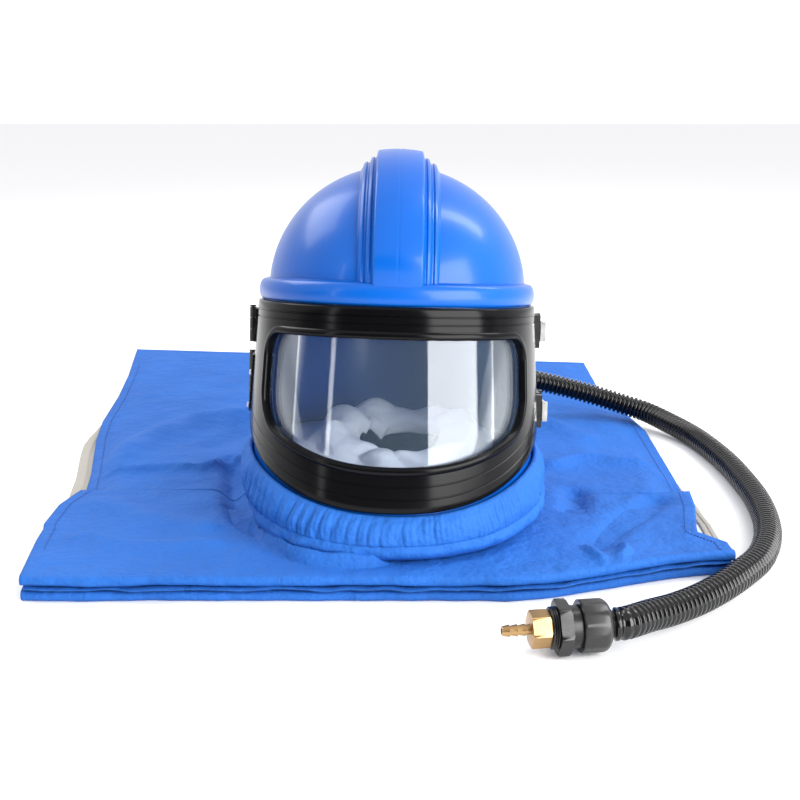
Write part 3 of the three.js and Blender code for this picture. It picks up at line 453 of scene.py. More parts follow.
# The shell's plastic: even blue with a satin gloss, faint flow marks and a soft clear-looking highlight.
shell_plastic, tree, coords = new_material("blue_polypropylene_injection_moulded")
flow = noise(tree, coords, 60, 2)
grain = noise(tree, coords, 1.2, 2)
surface(tree, {
    "Base Color": mixed(tree, flow, linear("004da4"), linear("0057b3")),
    "Roughness": varied(tree, flow, 0.28, 0.34), "IOR": 1.49, "Specular IOR Level": 0.26,
    "Coat Weight": 0.12, "Coat Roughness": 0.1, "Normal": bumped(tree, grain, 0.08, 0.1)})

shell = make_piece("moulded_helmet_shell", [shell_wall(), crest()], shell_plastic, "hood")
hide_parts("helmet_shell")


# Visor frame: glossy black moulded frame with a raised lip round the window and fine grooves along its
# upper and lower bands.
FRAME_TOP = -8.4
FRAME_END = 88
FRAME_BACK = -4.4
FRAME_BOTTOM, FRAME_CORNER = -154, 9
# Rows of its face: mm from the top or the bottom edge, and how deep each is cut in.
FRAME_ROWS = {
    "bottom": [(0, 1.6), (0.3, 0.9), (0.8, 0.35), (1.8, 0), (5, 0), (9.4, 0), (9.8, 0.45), (10.4, 0.45), (10.8, 0),
               (14, 0), (18.6, 0), (19, 0.45), (19.6, 0.45), (20, 0)],
    "top": [(12.8, 0), (12.4, 0.45), (11.8, 0.45), (11.4, 0), (7.3, 0), (6.9, 0.6), (6.3, 0.6), (5.9, 0), (1.8, 0),
            (0.8, 0.35), (0.3, 0.9), (0, 1.6)],
}


def frame_bottom(turn):
    return FRAME_BOTTOM + sill_rise(turn) + corner_drop(turn, FRAME_END * ARC, FRAME_CORNER)


def frame_band():
    """The frame's curved face with its window opening and grooves."""
    margin = 2.5
    window = window_turns(margin)
    outer_turns = FRAME_END - FRAME_CORNER / ARC * (1 - np.sin(np.linspace(0, np.pi / 2, 12)))
    side = np.hstack([np.linspace(window[-1], outer_turns[0], 20)[1:-1], outer_turns])
    turns = np.hstack([-side[::-1], window, side])
    held = np.clip(turns, window[0], window[-1])
    low, high = window_band(held, margin)
    below, above = np.array(FRAME_ROWS["bottom"]), np.array(FRAME_ROWS["top"])
    under = frame_bottom(turns)[:, None] + below[:, 0]
    over = np.tile(FRAME_TOP - above[:, 0], (len(turns), 1))
    low = np.maximum(low, under[:, -1] + 1.5)
    high = np.minimum(high, over[:, 0] - 1.5)
    opening = np.linspace(low, high, 16, axis=1)
    z = np.hstack([under, (under[:, -1:] + opening[:, :1]) / 2, opening, (opening[:, -1:] + over[:, :1]) / 2, over])
    first, rows = len(below) + 1, opening.shape[1]
    depths = np.hstack([below[:, 1], np.zeros(rows + 2), above[:, 1]])
    outer = face_point(turns[:, None], z, -depths)
    inner = face_point(turns[:, None], z, FRAME_BACK)
    kept = np.ones((len(turns) - 1, z.shape[1] - 1), bool)
    kept[len(side):len(side) + len(window) - 1, first:first + rows - 1] = False
    return wall(from_helmet(outer), from_helmet(inner), kept=kept)


def window_loop(margin):
    """Turn and height round the window's outline, margin mm outside it."""
    half = WINDOW_HALF * ARC
    quarter = np.linspace(0, np.pi / 2, 14)
    high, low = WINDOW_TOP + margin, WINDOW_SILL - margin
    top = np.linspace(TOP_CORNER - half, half - TOP_CORNER, 60)[:-1]
    sill = np.linspace(half - SILL_CORNER, SILL_CORNER - half, 60)[1:-1]
    side = np.full(14, half + margin)
    right = np.linspace(WINDOW_TOP - TOP_CORNER, WINDOW_SILL + SILL_CORNER + sill_rise(WINDOW_HALF), 16)[1:-1]
    upper_x = half - TOP_CORNER + (TOP_CORNER + margin) * np.sin(quarter)
    upper_z = high - (TOP_CORNER + margin) * (1 - np.cos(quarter))
    lower_x = half - SILL_CORNER + (SILL_CORNER + margin) * np.sin(quarter)
    lower_z = low + (SILL_CORNER + margin) * (1 - np.cos(quarter)) + sill_rise(lower_x / ARC)
    x = [top, upper_x, side, lower_x[::-1], sill, -lower_x, -side, -upper_x[::-1]]
    z = [np.full(59, high), upper_z, right, lower_z[::-1], low + sill_rise(sill / ARC), lower_z, right[::-1],
         upper_z[::-1]]
    return np.hstack(x)[:-1] / ARC, np.hstack(z)[:-1]


def ring_faces(columns, rows, strips):
    """Faces between the neighbouring columns of a closed run, strips of them to a column."""
    i, j = np.mgrid[:columns, :strips]
    a, b, up = i * rows, (i + 1) % columns * rows, (j + 1) % rows
    return np.stack([a + j, b + j, b + up, a + up], -1).reshape(-1, 4)


def lip():
    """The raised lip, a rounded bead swept round the window."""
    around = [(6, -2.6), (5.9, -0.4), (5.5, 0.5), (4.7, 1.2), (3.6, 1.55), (2.2, 1.6), (1.1, 1.35), (0.35, 0.8),
              (0, 0), (0, -2.2), (0, FRAME_BACK + 0.2), (3, FRAME_BACK + 0.2), (6, FRAME_BACK + 0.2)]
    rings = [from_helmet(face_point(*window_loop(margin), offset)) for margin, offset in around]
    points = np.stack(rings, 1).reshape(-1, 3)
    faces = ring_faces(len(rings[0]), len(rings), len(rings))
    if volume(points, faces) < 0:
        faces = faces[:, ::-1]
    return points, faces, np.zeros((len(faces), 4, 2))


# The frame's plastic: deep black with a mirror-like moulded gloss that shows the room as sharp bands.
frame_plastic, tree, coords = new_material("black_abs_moulded_gloss")
wave = noise(tree, coords, 45, 1)
surface(tree, {
    "Base Color": linear("08080a"), "Roughness": varied(tree, wave, 0.15, 0.21),
    "IOR": 1.54, "Specular IOR Level": 0.12, "Normal": bumped(tree, wave, 0.25, 0.4)})

visor = make_piece("moulded_visor_frame", [frame_band(), lip()], frame_plastic, "visor")
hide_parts("visor_frame")


# Lens: a clear polycarbonate sheet, cut to the window and bent round behind the frame, where it is held in
# its rebate.
LENS_LAP = 5
LENS_FRONT, LENS_BACK = -4.7, -6.2


def lens_sheet():
    turns = window_turns(LENS_LAP)
    z = np.linspace(*window_band(turns, LENS_LAP), 24, axis=1)
    front, back = (face_point(turns[:, None], z, offset) for offset in (LENS_FRONT, LENS_BACK))
    return wall(from_helmet(front), from_helmet(back))


# The clear sheet lets most light through with a grey-blue tint and mirrors the lights as tall strips.
lens_clear, tree, coords = new_material("clear_polycarbonate_sheet")
haze = noise(tree, coords, 30, 2)
clear = add_node(tree, "ShaderNodeBsdfTransparent", {"Color": linear("f6fafd")})
scatter = add_node(tree, "ShaderNodeBsdfDiffuse", {"Color": linear("a9c6e0")})
veiled = add_node(tree, "ShaderNodeMixShader", {"Fac": 0.04, 1: clear, 2: scatter})
gloss = add_node(tree, "ShaderNodeBsdfGlossy", {
    "Color": (1, 1, 1, 1), "Roughness": varied(tree, haze, 0.02, 0.05)})
mirror = add_node(tree, "ShaderNodeFresnel", {"IOR": 1.35})
lifted = mapped(tree, mirror, 0.0, 1.0, 0.02, 0.9)
surface(tree, {"Fac": lifted, 1: veiled, 2: gloss}, "ShaderNodeMixShader")

lens = make_piece("bent_clear_lens", [lens_sheet()], lens_clear, "visor")
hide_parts("visor_lens")


# Inner neck collar: a tube of white brushed cotton, sewn inside the shell's rim. It rises there and rolls
# in at the neck in soft lobes.
CLOTH = 2
LINER_NECK_RADIUS = 102
# Rows from its foot to its inner edge: way towards the neck, share of the neck's radius, share of its height.
INNER_ROWS = [
    (0, 1, 0), (0.12, 0.93, 0.02), (0.25, 0.84, 0.08), (0.5, 0.72, 0.28), (0.7, 0.64, 0.5), (0.88, 0.6, 0.74),
    (1, 0.575, 0.92), (1, 0.53, 1), (1, 0.47, 0.98), (1, 0.41, 0.88), (1, 0.35, 0.76), (1, 0.32, 0.64),
    (1, 0.315, 0.5), (1, 0.32, 0.3),
]


def ripple(x, y, seed, size):
    """Soft creases of about size mm, as a sum of seeded waves."""
    rng = np.random.default_rng(seed)
    total, waves = 0, 7
    for _ in range(waves):
        angle = rng.uniform(0, np.pi)
        length = size * rng.uniform(0.7, 1.8)
        total = total + np.sin((x * np.cos(angle) + y * np.sin(angle)) * np.pi / length + rng.uniform(0, 6.3))
    return total / waves


def cloth_ring(lines, centre):
    """Thickens lines of points, each in its own upright plane, into a ring of cloth."""
    outward = lines - [*centre, 0]
    outward[..., 2] = 0
    outward /= np.linalg.norm(outward, axis=-1, keepdims=True)
    along = np.gradient(lines, axis=1)
    radial = (along * outward).sum(-1)
    length = np.hypot(radial, along[..., 2])[..., None] + 1e-9
    normal = (-along[..., 2:] * outward + radial[..., None] * [0, 0, 1]) / length
    return wall(lines + normal * CLOTH / 2, lines - normal * CLOTH / 2, ring=True)


def inner_collar():
    """Lines from the shell's rim to the neck, with seeded folds that grow as the cloth comes loose."""
    turns = np.linspace(0, 360, 240, endpoint=False)
    shift, width, level = smooth_path(INNER_ROWS, 4).T
    angle = np.radians(turns)[:, None]
    start = from_helmet(face_point(turns, collar_top(turns) - 4, SHELL_OFFSET - SHELL_WALL - 1.5))[:, None]
    neck = LINER_NECK_RADIUS * width[:, None] * np.stack([np.sin(angle), -np.cos(angle), 0 * angle], -1)
    mix = np.minimum(0.35 * np.minimum(1, shift / 0.25) + 0.65 * smooth(0, 0.5, shift), 1)
    lines = start + (neck - start) * mix[:, None]
    top = 82 - 7 * (1 + np.cos(angle)) - 3 * np.cos(2 * angle)
    lines[..., 2] = start[..., 2] + (top - start[..., 2]) * level
    loose = smooth(0, 0.3, np.where(np.arange(len(level)) > len(level) * 0.75, 1, level))
    pucker = np.abs(np.sin(2.5 * angle + 1.3 * np.sin(3 * angle + 1) + 2.6 * level)) ** 0.8 - 0.6
    lines[..., 2] += loose * (9 * ripple(lines[..., 0], lines[..., 1], 5, 24) + 5 * pucker)
    pull = 1 + loose * 0.09 * pucker + loose * 0.1 * ripple(lines[..., 0], lines[..., 1], 9, 20)
    lines[..., :2] *= pull[..., None]
    return cloth_ring(lines, (0, 0))


def woven(name, dark, light, thread, sheen, crease_depth):
    """Plain-woven cloth: crossing threads on the cut's own UV, in mm, with soft mottled colour."""
    material, tree, coords = new_material(name)
    cut = add_node(tree, "ShaderNodeUVMap", uv_map="cut")
    threads = [add_node(tree, "ShaderNodeTexWave", {
        "Vector": cut, "Scale": math.pi / (10 * thread * MM), "Distortion": 0.6, "Detail": 1.0},
        bands_direction=direction).outputs["Fac"] for direction in ("X", "Y")]
    mottle = noise(tree, coords, 55, 3)
    slub = noise(tree, coords, 3, 2)
    tone = mixed(tree, varied(tree, mottle, 0.38, 0.66), linear(dark), linear(light))
    fine = bumped(tree, maths(tree, "MULTIPLY", *threads), 0.5, 0.16)
    crease = noise(tree, coords, 26, 5, 0.6)
    surface(tree, {
        "Base Color": mixed(tree, mapped(tree, slub, 0.45, 0.75, 0.0, 0.16), tone, linear(light)),
        "Roughness": 0.78, "IOR": 1.46, "Sheen Weight": sheen, "Sheen Roughness": 0.4,
        "Sheen Tint": linear(light), "Normal": bumped(tree, crease, 1.0, crease_depth, Normal=fine)})
    return material


# White brushed cotton: matt and soft, its creases shaded a pale lilac by the blue shell round it.
liner_cloth = woven("white_brushed_cotton_woven", "e6e2ec", "fbf9fd", 0.5, 0.25, 5)
liner = make_piece("white_inner_neck_collar", [inner_collar()], liner_cloth, "hood", 180)
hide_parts("inner_neck_collar")


# Gathered collar: blue woven nylon, gathered on an elastic under the shell's rim and rolled at its foot. The
# cape that it ends on is shaped by the same creases and dents.
NECK_CENTRE = (-7, -12)
STACK_HEIGHT = 18.5
BACK_HEIGHT = 8
CAPE_HALF_WIDTH = 270
FRONT_EDGE = 173
# Rows from the top edge to the foot: share of the way down, mm out, share of the bulge, depth of gathers.
COLLAR_ROWS = [
    (0.4, -3.6, 0, 0), (0.02, -3, 0, 0.1), (-0.05, -1.6, 0.1, 0.2), (0, -0.4, 0.25, 0.5), (0.2, 1.6, 0.65, 1.1),
    (0.42, 2.2, 0.85, 1.1), (0.58, 1.9, 0.88, 0.9), (0.64, 1.1, 0.86, 0.6), (0.7, 1.9, 0.9, 0.6),
    (0.82, 2.5, 0.95, 0.7), (1, -1.4, 0.7, 0.5),
]
# Creases of the cloth: height and width in mm, how much steeper its far side is, and the places it runs through.
CREASES = [
    (4.2, 6, 0.35, [(-269, 68), (-234, 63), (-204, 68), (-176, 63), (-162, 82), (-150, 102)]),
    (6, 26, 0, [(-273, 97), (-260, 120), (-247, 158), (-230, 205), (-211, 238), (-162, 264)]),
    (-7, 13, 0, [(-152, 94), (-144, 36), (-133, -21), (-120, -65), (-97, -92)]),
    (7, 7, -0.5, [(-116, -62), (-108, -84), (-96, -113), (-77, -141), (-50, -153), (-20, -153)]),
    (4, 10, 0.4, [(127, 102), (135, 88), (162, 105), (184, 105), (203, 91), (225, 85), (236, 63)]),
    (-5, 14, 0, [(146, 11), (144, -14), (140, -32)]),
    (-4, 16, 0, [(211, -11), (183, -48), (162, -80), (145, -111)]),
    (3, 6, 0, [(137, -117), (145, -146)]),
    (3, 6, 0.3, [(165, -117), (164, -128), (153, -146)]),
    (3, 20, 0, [(-240, -30), (-200, -60), (-150, -80)]),
    (2.5, 14, 0.2, [(-235, -100), (-190, -118), (-140, -112)]),
    (3, 18, 0, [(180, 180), (150, 240), (90, 300)]),
    (-3, 22, 0, [(-180, 150), (-150, 220), (-120, 300)]),
]
# Dents of the cape: place as a share of its half width, depth and width in mm.
DENTS = [
    (0.68, -0.1, 3, 60), (0.62, 0.22, 3.5, 45), (0.78, -0.42, 3, 40), (-0.62, 0.42, -4, 45), (-0.3, 1.5, 3, 90),
    (0.35, 1.3, -3, 80),
]


def creases(x, y):
    """How far the creases raise or sink the cloth at each point."""
    total = np.zeros(np.broadcast(x, y).shape)
    for height, width, steeper, places in CREASES:
        nearest = np.full(total.shape, 1e9)
        side = np.zeros(total.shape)
        path = smooth_path(places, 4)
        for (ax, ay), (bx, by) in zip(path[:-1], path[1:]):
            length = math.hypot(bx - ax, by - ay)
            t = np.clip(((x - ax) * (bx - ax) + (y - ay) * (by - ay)) / length**2, 0, 1)
            away = np.hypot(x - ax - t * (bx - ax), y - ay - t * (by - ay))
            cross = ((bx - ax) * (y - ay) - (by - ay) * (x - ax)) / length
            closer = away < nearest
            side = np.where(closer, np.sign(cross), side)
            nearest = np.where(closer, away, nearest)
        spread = width * (1 - steeper * side)
        total = total + 1.5 * height * np.exp(-((nearest / spread) ** 2) * 2) * (1 + 0.25 * ripple(x, y, 31, 20))
    return total


def cape_top(x, y):
    """Height of the cape's upper face over the table."""
    z = STACK_HEIGHT + (BACK_HEIGHT - STACK_HEIGHT) * smooth(-20, 210, y)
    for across, along, depth, width in DENTS:
        away = np.hypot(x - across * CAPE_HALF_WIDTH, y - along * CAPE_HALF_WIDTH) / width
        z = z - depth * np.exp(-away**2) * smooth(-FRONT_EDGE + 12, -FRONT_EDGE + 60, y)
    return z + creases(x, y) * smooth(-FRONT_EDGE + 2, -FRONT_EDGE + 26, y)


def pleats(angle, count, drift):
    """Gathers round the collar: rounded tops and sharp valleys, unevenly spaced, that drift down its rows."""
    phase = count * angle + 1.4 * np.sin(7 * angle + 1) + 1.1 * np.sin(17 * angle + 2) + drift
    return np.abs(np.sin(phase / 2)) ** 0.75 - 0.62


def gathered_collar():
    """Rows of gathers that hang from the shell, bulge in front, roll in and end on the cape."""
    turns = np.linspace(0, 360, 1080, endpoint=False)
    angle = np.radians(turns)
    rows = smooth_path(COLLAR_ROWS, 3)
    level = rows[:, 0]
    around = angle[:, None]
    slow = 0.55 + 0.45 * np.sin(7 * around + 1 + 2 * level) * np.sin(4 * around + level)
    coarse = pleats(around, 84, 1.3 * np.sin(3 * around + 4 * level) + 1.5 * level)
    fine = pleats(around, 205, 2 * np.sin(2 * around + 5 * level))
    right = smooth(-0.2, 0.7, np.sin(around))
    upper = smooth(0.72, 0.58, level)
    pleat = (coarse * (1 - 0.55 * right) + fine * (0.35 + 0.5 * right)) * upper
    pleat = pleat + 0.7 * np.sin(31 * around + 9 * level) * np.sin(5 * around + 2) * (1 - upper)
    pleat = pleat + 1.3 * ripple(around * 115 + level * 20, level * 45, 61, 13)
    top = collar_top(turns)
    bulge = 1 + 3.4 * np.cos(angle)
    drop = from_helmet(face_point(turns, top, 0))[:, 2] - STACK_HEIGHT - 9 + 6 * np.cos(angle)
    down, out, share, gather = rows.T
    tucked = 9 * smooth(0.2, 0.9, -np.sin(around + 0.35)) * smooth(0.3, 0.95, down)
    offset = out + share * bulge[:, None] + gather * 2.4 * pleat * slow - tucked
    lines = from_helmet(face_point(turns[:, None], top[:, None] - down * drop[:, None], offset))
    foot = from_helmet(face_point(turns, top - 1.2 * drop, -10))
    foot[:, 2] = cape_top(foot[:, 0], foot[:, 1]) + 1.3
    last = lines[:, -1]
    tail = last[:, None] + (foot - last)[:, None] * np.linspace(0.25, 1, 4)[:, None]
    return cloth_ring(np.concatenate([lines, tail], 1), NECK_CENTRE)


# Blue woven nylon: a fine crossing weave, soft broad creases and a pale sheen where it turns away.
cape_cloth = woven("blue_nylon_plain_woven", "0a4b9a", "1867c0", 0.6, 0.16, 6)
collar = make_piece("elastic_gathered_collar", [gathered_collar()], cape_cloth, "hood", 180)
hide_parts("gathered_collar")


# Cape: two panels of the same woven nylon, hemmed all round. The back panel lies flat on the table, and
# the front panel is folded under itself in four layers.
SEAM_Y = 5
HALF_GAP = 0.15
BACK_LENGTH = 584
FRONT_SKEW = 45
FOLD_BACK_Y = -28
HEM = 11
TOP_ROWS = 84
NECK_HALF = (99, 115.5)
# Side edges: share of the panel's length, then its left and its right edge as shares of the cape's half width.
BACK_EDGES = [
    (0, -0.985, 0.895), (0.13, -1.03, 0.905), (0.31, -1.11, 0.915), (0.42, -1.145, 0.92), (0.59, -1.17, 0.88),
    (0.76, -1.21, 0.845), (1, -1.285, 0.855),
]
FRONT_EDGES = [
    (0, -0.985, 0.895), (0.2, -1.015, 0.88), (0.44, -1.015, 0.845), (0.5, -1.005, 0.84), (0.62, -1, 0.9),
    (1, -0.97, 0.9),
]


def edge_x(table, along, column):
    """Where a panel's side edge lies: column 1 is the left one and column 2 the right one."""
    table = np.array(table)
    return CAPE_HALF_WIDTH * np.interp(along, table[:, 0], table[:, column])


def cells_outside_neck(grid):
    """Which cells of a grid of points lie outside the cape's neck hole."""
    middle = (grid[:-1, :-1] + grid[1:, 1:])[..., :2] / 2
    return (((middle - NECK_CENTRE) / NECK_HALF) ** 2).sum(-1) >= 1


def back_panel():
    u = np.linspace(0, 1, 200)[:, None]
    v = np.hstack([np.linspace(0, 0.97, 190), np.linspace(0.972, 1, 14)])[None, :]
    y = SEAM_Y + HALF_GAP + v * (1 - 0.13 * u) * BACK_LENGTH
    left, right = edge_x(BACK_EDGES, v, 1), edge_x(BACK_EDGES, v, 2)
    x = left + (right - left) * u
    from_side = np.minimum(x - left, right - x)
    from_end = (1 - v) * BACK_LENGTH + 0 * u
    edge = np.minimum(smooth(0, 34, from_side), smooth(0, 34, from_end))
    z = 4.4 + (cape_top(x, y) - 4.4) * edge
    z = z + (1.6 * ripple(x, y, 21, 70) + 0.7 * ripple(x, y, 22, 26)) * smooth(0.2, 1, edge)
    z = z + 0.9 * smooth(HEM + 1.5, HEM, np.minimum(from_side, from_end))
    z = np.maximum(z, CLOTH + 0.3)
    outer = np.stack([x, y, z], -1)
    return outer, cells_outside_neck(outer)


def front_y_at(u):
    """The front edge's place along Y: it runs back at the right."""
    return FRONT_SKEW * float(smooth(0.66, 1, u)) - FRONT_EDGE


def front_share(y):
    """How far forward of the seam a place is, as a share of the front panel's length."""
    return (SEAM_Y - y) / (FRONT_EDGE + SEAM_Y)


def front_x(u, y):
    """Place along X at a share of the front panel's width."""
    left, right = (edge_x(FRONT_EDGES, front_share(y), column) for column in (1, 2))
    return left + (right - left) * u


def front_path(u):
    """The folded panel's path at a share of its width: y and z from the seam forward, then under."""
    across = u * 2 * CAPE_HALF_WIDTH
    front = front_y_at(u) + 1.6 * ripple(across, 3, 41, 34) + 0.8 * ripple(across, 9, 42, 11)
    lift = (STACK_HEIGHT - CLOTH) / 3
    sag = [0, 0.9 * ripple(across, 5, 43, 40), 0.8 * ripple(across, 6, 44, 24), 0]
    levels = STACK_HEIGHT - CLOTH / 2 - lift * np.arange(4) + sag
    y = SEAM_Y - HALF_GAP + (front - SEAM_Y + HALF_GAP) * np.linspace(0, 0.93, TOP_ROWS)
    x = front_x(u, y)
    top = np.stack([y, cape_top(x, y) - CLOTH / 2], 1)
    tuck = front + lift / 2

    def turn(y0, side, upper, lower):
        radius = (upper - lower) / 2
        a = np.radians(np.linspace(0, 180, 9))
        return np.stack([y0 + side * radius * np.sin(a), lower + radius + radius * np.cos(a)], 1)

    def run(y0, y1, level):
        return np.stack([np.linspace(y0, y1, 10)[1:-1], np.full(8, level)], 1)

    path = [top]
    runs = (tuck, FOLD_BACK_Y, -1), (FOLD_BACK_Y, tuck, 1), (tuck, FOLD_BACK_Y, -1)
    for k, (start, end, side) in enumerate(runs):
        path += [turn(start, side, levels[k], levels[k + 1]), run(start, end, levels[k + 1])]
    return np.concatenate([*path, [[FOLD_BACK_Y, levels[3]]]])


def free_hem():
    """The panel's free hem, rolled and wavy, in the gap between the two folds."""
    u = np.linspace(0.004, 0.996, 420)
    rounds = np.radians(np.arange(0, 360, 36))
    grid = []
    for share in u:
        across = share * 2 * CAPE_HALF_WIDTH
        zigzag = 1.4 * ripple(across, 7, 51, 16) + 1.6 * abs(ripple(across, 8, 52, 30))
        depth = 17 * (1 - np.cos(rounds)) / 2 - 2.6 + 1.5 * ripple(across, 4, 53, 22)
        y = front_y_at(share) + depth
        z = 8.9 + zigzag + 1.1 * np.sin(rounds) * smooth(18, 2, depth - depth.min())
        grid.append(np.stack([front_x(share, y), y, z], 1))
    grid = np.array(grid)
    flat = grid.mean(1, keepdims=True) + 0 * grid
    return wall(np.concatenate([grid, grid[:, :1]], 1), np.concatenate([flat, flat[:, :1]], 1))


def front_panel():
    """Two skins, half the cloth's thickness to each side of the folded path."""
    skins = [[], []]
    for u in np.linspace(0, 1, 250):
        path = front_path(u)
        along = np.gradient(path, axis=0)
        shift = CLOTH / 2 / np.linalg.norm(along, axis=1)
        x = front_x(u, path[:, 0])
        for skin, side in zip(skins, (shift, -shift)):
            skin.append(np.stack([x, path[:, 0] + along[:, 1] * side, path[:, 1] - along[:, 0] * side], 1))
    outer, inner = np.array(skins)
    kept = cells_outside_neck(outer)
    kept[:, TOP_ROWS:] = True
    return wall(outer, inner, kept=kept)


back_grid, back_cells = back_panel()
cape_back = make_piece("cape_back_panel_cloth", [wall(back_grid, back_grid - [0, 0, CLOTH], kept=back_cells)],
                       cape_cloth, "hood", 180)
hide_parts("cape_back_panel")
cape_front = make_piece("cape_front_panel_cloth", [front_panel(), free_hem()], cape_cloth, "hood", 180)
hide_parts("cape_front_panel")


# Stitches: blue polyester thread, lockstitched along the cape's side hems. They ride on the cloth that they
# hold.
STITCH_INSET = 9
STITCH_RISE = 0.35


def stitch_tree():
    """A tree that lays short stitches along curves, with gaps between them."""
    tree, given = new_tree("stitches", {"Pitch": 0.003, "Length": 0.002, "Thread": 0.0004})
    line = add_node(tree, "GeometryNodeResampleCurve", {
        "Curve": given["Geometry"], "Length": given["Pitch"]}, mode="LENGTH")
    tangent = add_node(tree, "GeometryNodeInputTangent")
    turn = add_node(tree, "FunctionNodeAlignRotationToVector", {"Vector": tangent})
    bead = add_node(tree, "GeometryNodeMeshIcoSphere", {"Radius": 0.5, "Subdivisions": 1})
    size = add_node(tree, "ShaderNodeCombineXYZ", {
        "X": given["Thread"], "Y": given["Thread"], "Z": given["Length"]})
    laid = add_node(tree, "GeometryNodeInstanceOnPoints", {
        "Points": line, "Instance": bead, "Rotation": turn,
        "Scale": size})
    end_tree(tree, laid, given)
    return tree


def side_hem(table, column, y):
    """A line on the cape, a little in from its side edge."""
    along = (y - SEAM_Y) / BACK_LENGTH if table is BACK_EDGES else front_share(y)
    x = edge_x(table, along, column) - STITCH_INSET * (1 if column == 2 else -1)
    return np.stack([x, y, 0 * y], 1)


thread, tree, coords = new_material("blue_polyester_thread_twisted")
surface(tree, {
    "Base Color": linear("0a3f88"), "Roughness": varied(tree, noise(tree, coords, 2), 0.5, 0.6),
    "IOR": 1.5})


def on_cloth(lines, piece):
    """The lines dropped on a piece's upper face."""
    laid = []
    for line in lines:
        hits = [piece.ray_cast((x, y, 0.1), (0, 0, -1)) for x, y, _ in on_table(line)]
        laid.append([place + Vector((0, 0, STITCH_RISE * MM)) for hit, place, _, _ in hits if hit])
    return [line for line in laid if len(line) > 2]


hem_y = np.linspace(SEAM_Y + 4, SEAM_Y + 500, 130)
front_y = np.linspace(SEAM_Y - 4, -FRONT_EDGE + 50, 60)
bpy.context.view_layer.update()
hem_lines = on_cloth([side_hem(BACK_EDGES, 1, hem_y), side_hem(BACK_EDGES, 2, hem_y[:100])], cape_back)
hem_lines += on_cloth([side_hem(FRONT_EDGES, 1, front_y), side_hem(FRONT_EDGES, 2, front_y)], cape_front)
stitches = grown("hem_stitches", poly_curve("hem_lines", hem_lines), stitch_tree(), {
    "Pitch": 3 * MM, "Length": 2.4 * MM, "Thread": 0.7 * MM, "Material": thread}, "hood")


# Fittings: a black nylon cable gland, moulded, with a nut of narrow flats and a thin chamfered hexagon, and a
# turned brass adapter whose barb takes the supply line. All screw together on one axis.
def turned(profile, flats):
    """A closed solid turned about the fittings' axis. The profile starts and ends on the axis, and gives mm along,
    mm out, and how far out its flats stand at their corners, or 0 where it is round."""
    angles = np.radians(np.linspace(0, 360, 120, endpoint=False))
    part = math.tau / flats
    flat_share = math.cos(part / 2) / np.cos((angles + part / 2) % part - part / 2)
    along, out, corner = np.array(profile, float).T
    held = np.minimum(out, corner * flat_share[:, None])
    radius = np.where(corner > 0, held, out)
    up, across = np.array([0, 0, 1]), np.cross(fitting_axis, [0, 0, 1])
    spoke = np.cos(angles)[:, None] * up + np.sin(angles)[:, None] * across
    points = (FITTING_PLACE + fitting_axis * along[:, None] + radius[..., None] * spoke[:, None]).reshape(-1, 3)
    faces = ring_faces(len(angles), len(profile), len(profile) - 1)
    return points, faces[:, ::-1], np.zeros((len(faces), 4, 2))


def plain(name, colour, roughness, metal=0.0):
    """An even finish, worn a little smoother and rougher in patches."""
    material, tree, coords = new_material(name)
    wear = noise(tree, coords, 6, 3)
    surface(tree, {
        "Base Color": linear(colour), "Metallic": metal, "IOR": 1.5,
        "Roughness": varied(tree, wear, roughness * 0.85, roughness * 1.2)})
    return material


gland_plastic = plain("black_polyamide_gland_moulded", "161617", 0.3)
hexagon_plastic = plain("black_polyamide_hexagon_moulded", "070708", 0.3)
steel = plain("stainless_steel_stamped", "c9c9c7", 0.28, 1.0)
brass = plain("brass_turned", "ad8c60", 0.32, 1.0)
NUT_RADIUS, NUT_LENGTH = 17.1, 19.5
HEX_START, HEX_END, THREAD_END = 26.4, 34.4, 38.4
HEX_CORNER, BRASS_CORNER = 18, 12.1
BRASS_START, BARB_START, BARB_END = 38.7, 50.7, 68.7
thread_rings = [(HEX_END + 0.4 + 0.7 * k, 13.4 - 0.7 * (k % 2), 0) for k in range(5)]
barb_rings = [(BARB_START + 3 + 5 * k + step, out, 0)
              for k in range(3) for step, out in ((0, 3), (0.2, 3.85), (4.6, 3))]
nut = make_piece("gland_nut_moulded", [turned([
    (0, 0, 0), (0, 11.6, 0), (0.6, 13, 0), (1.8, 14.8, 0), (3.4, 16.2, 0), (5.4, 16.95, 17.2), (8, NUT_RADIUS, 17.2),
    (18.4, NUT_RADIUS, 17.2), (19.1, 16.8, 17), (NUT_LENGTH, 16.2, 0), (NUT_LENGTH, 14, 0), (NUT_LENGTH, 0, 0)], 14)],
    gland_plastic, "hood", 18)
gland = make_piece("gland_hexagon_moulded", [turned([
    (19.8, 0, 0), (19.8, 13.5, 0), (HEX_START, 13.5, 0), (HEX_START, 17, 18), (HEX_START + 0.8, HEX_CORNER, 18),
    (HEX_END - 0.8, HEX_CORNER, 18), (HEX_END, 17, 18), (HEX_END, 13.2, 0), *thread_rings,
    (THREAD_END, 12.6, 0), (THREAD_END, 0, 0)], 6)], hexagon_plastic, "hood", 25)
adapter = make_piece("brass_hexagon_and_barb", [turned([
    (BRASS_START, 0, 0), (BRASS_START, 11.4, 12.1), (BRASS_START + 0.6, BRASS_CORNER, 12.1),
    (BARB_START - 0.6, BRASS_CORNER, 12.1), (BARB_START, 11.4, 12.1), (BARB_START, 4.2, 0),
    (BARB_START + 0.4, 3.2, 0), *barb_rings, (BARB_END - 0.4, 3.1, 0), (BARB_END, 2.8, 0), (BARB_END, 1.9, 0),
    (BARB_END - 14, 1.8, 0), (BARB_END - 14, 0, 0)], 6)], brass, "hood", 25)
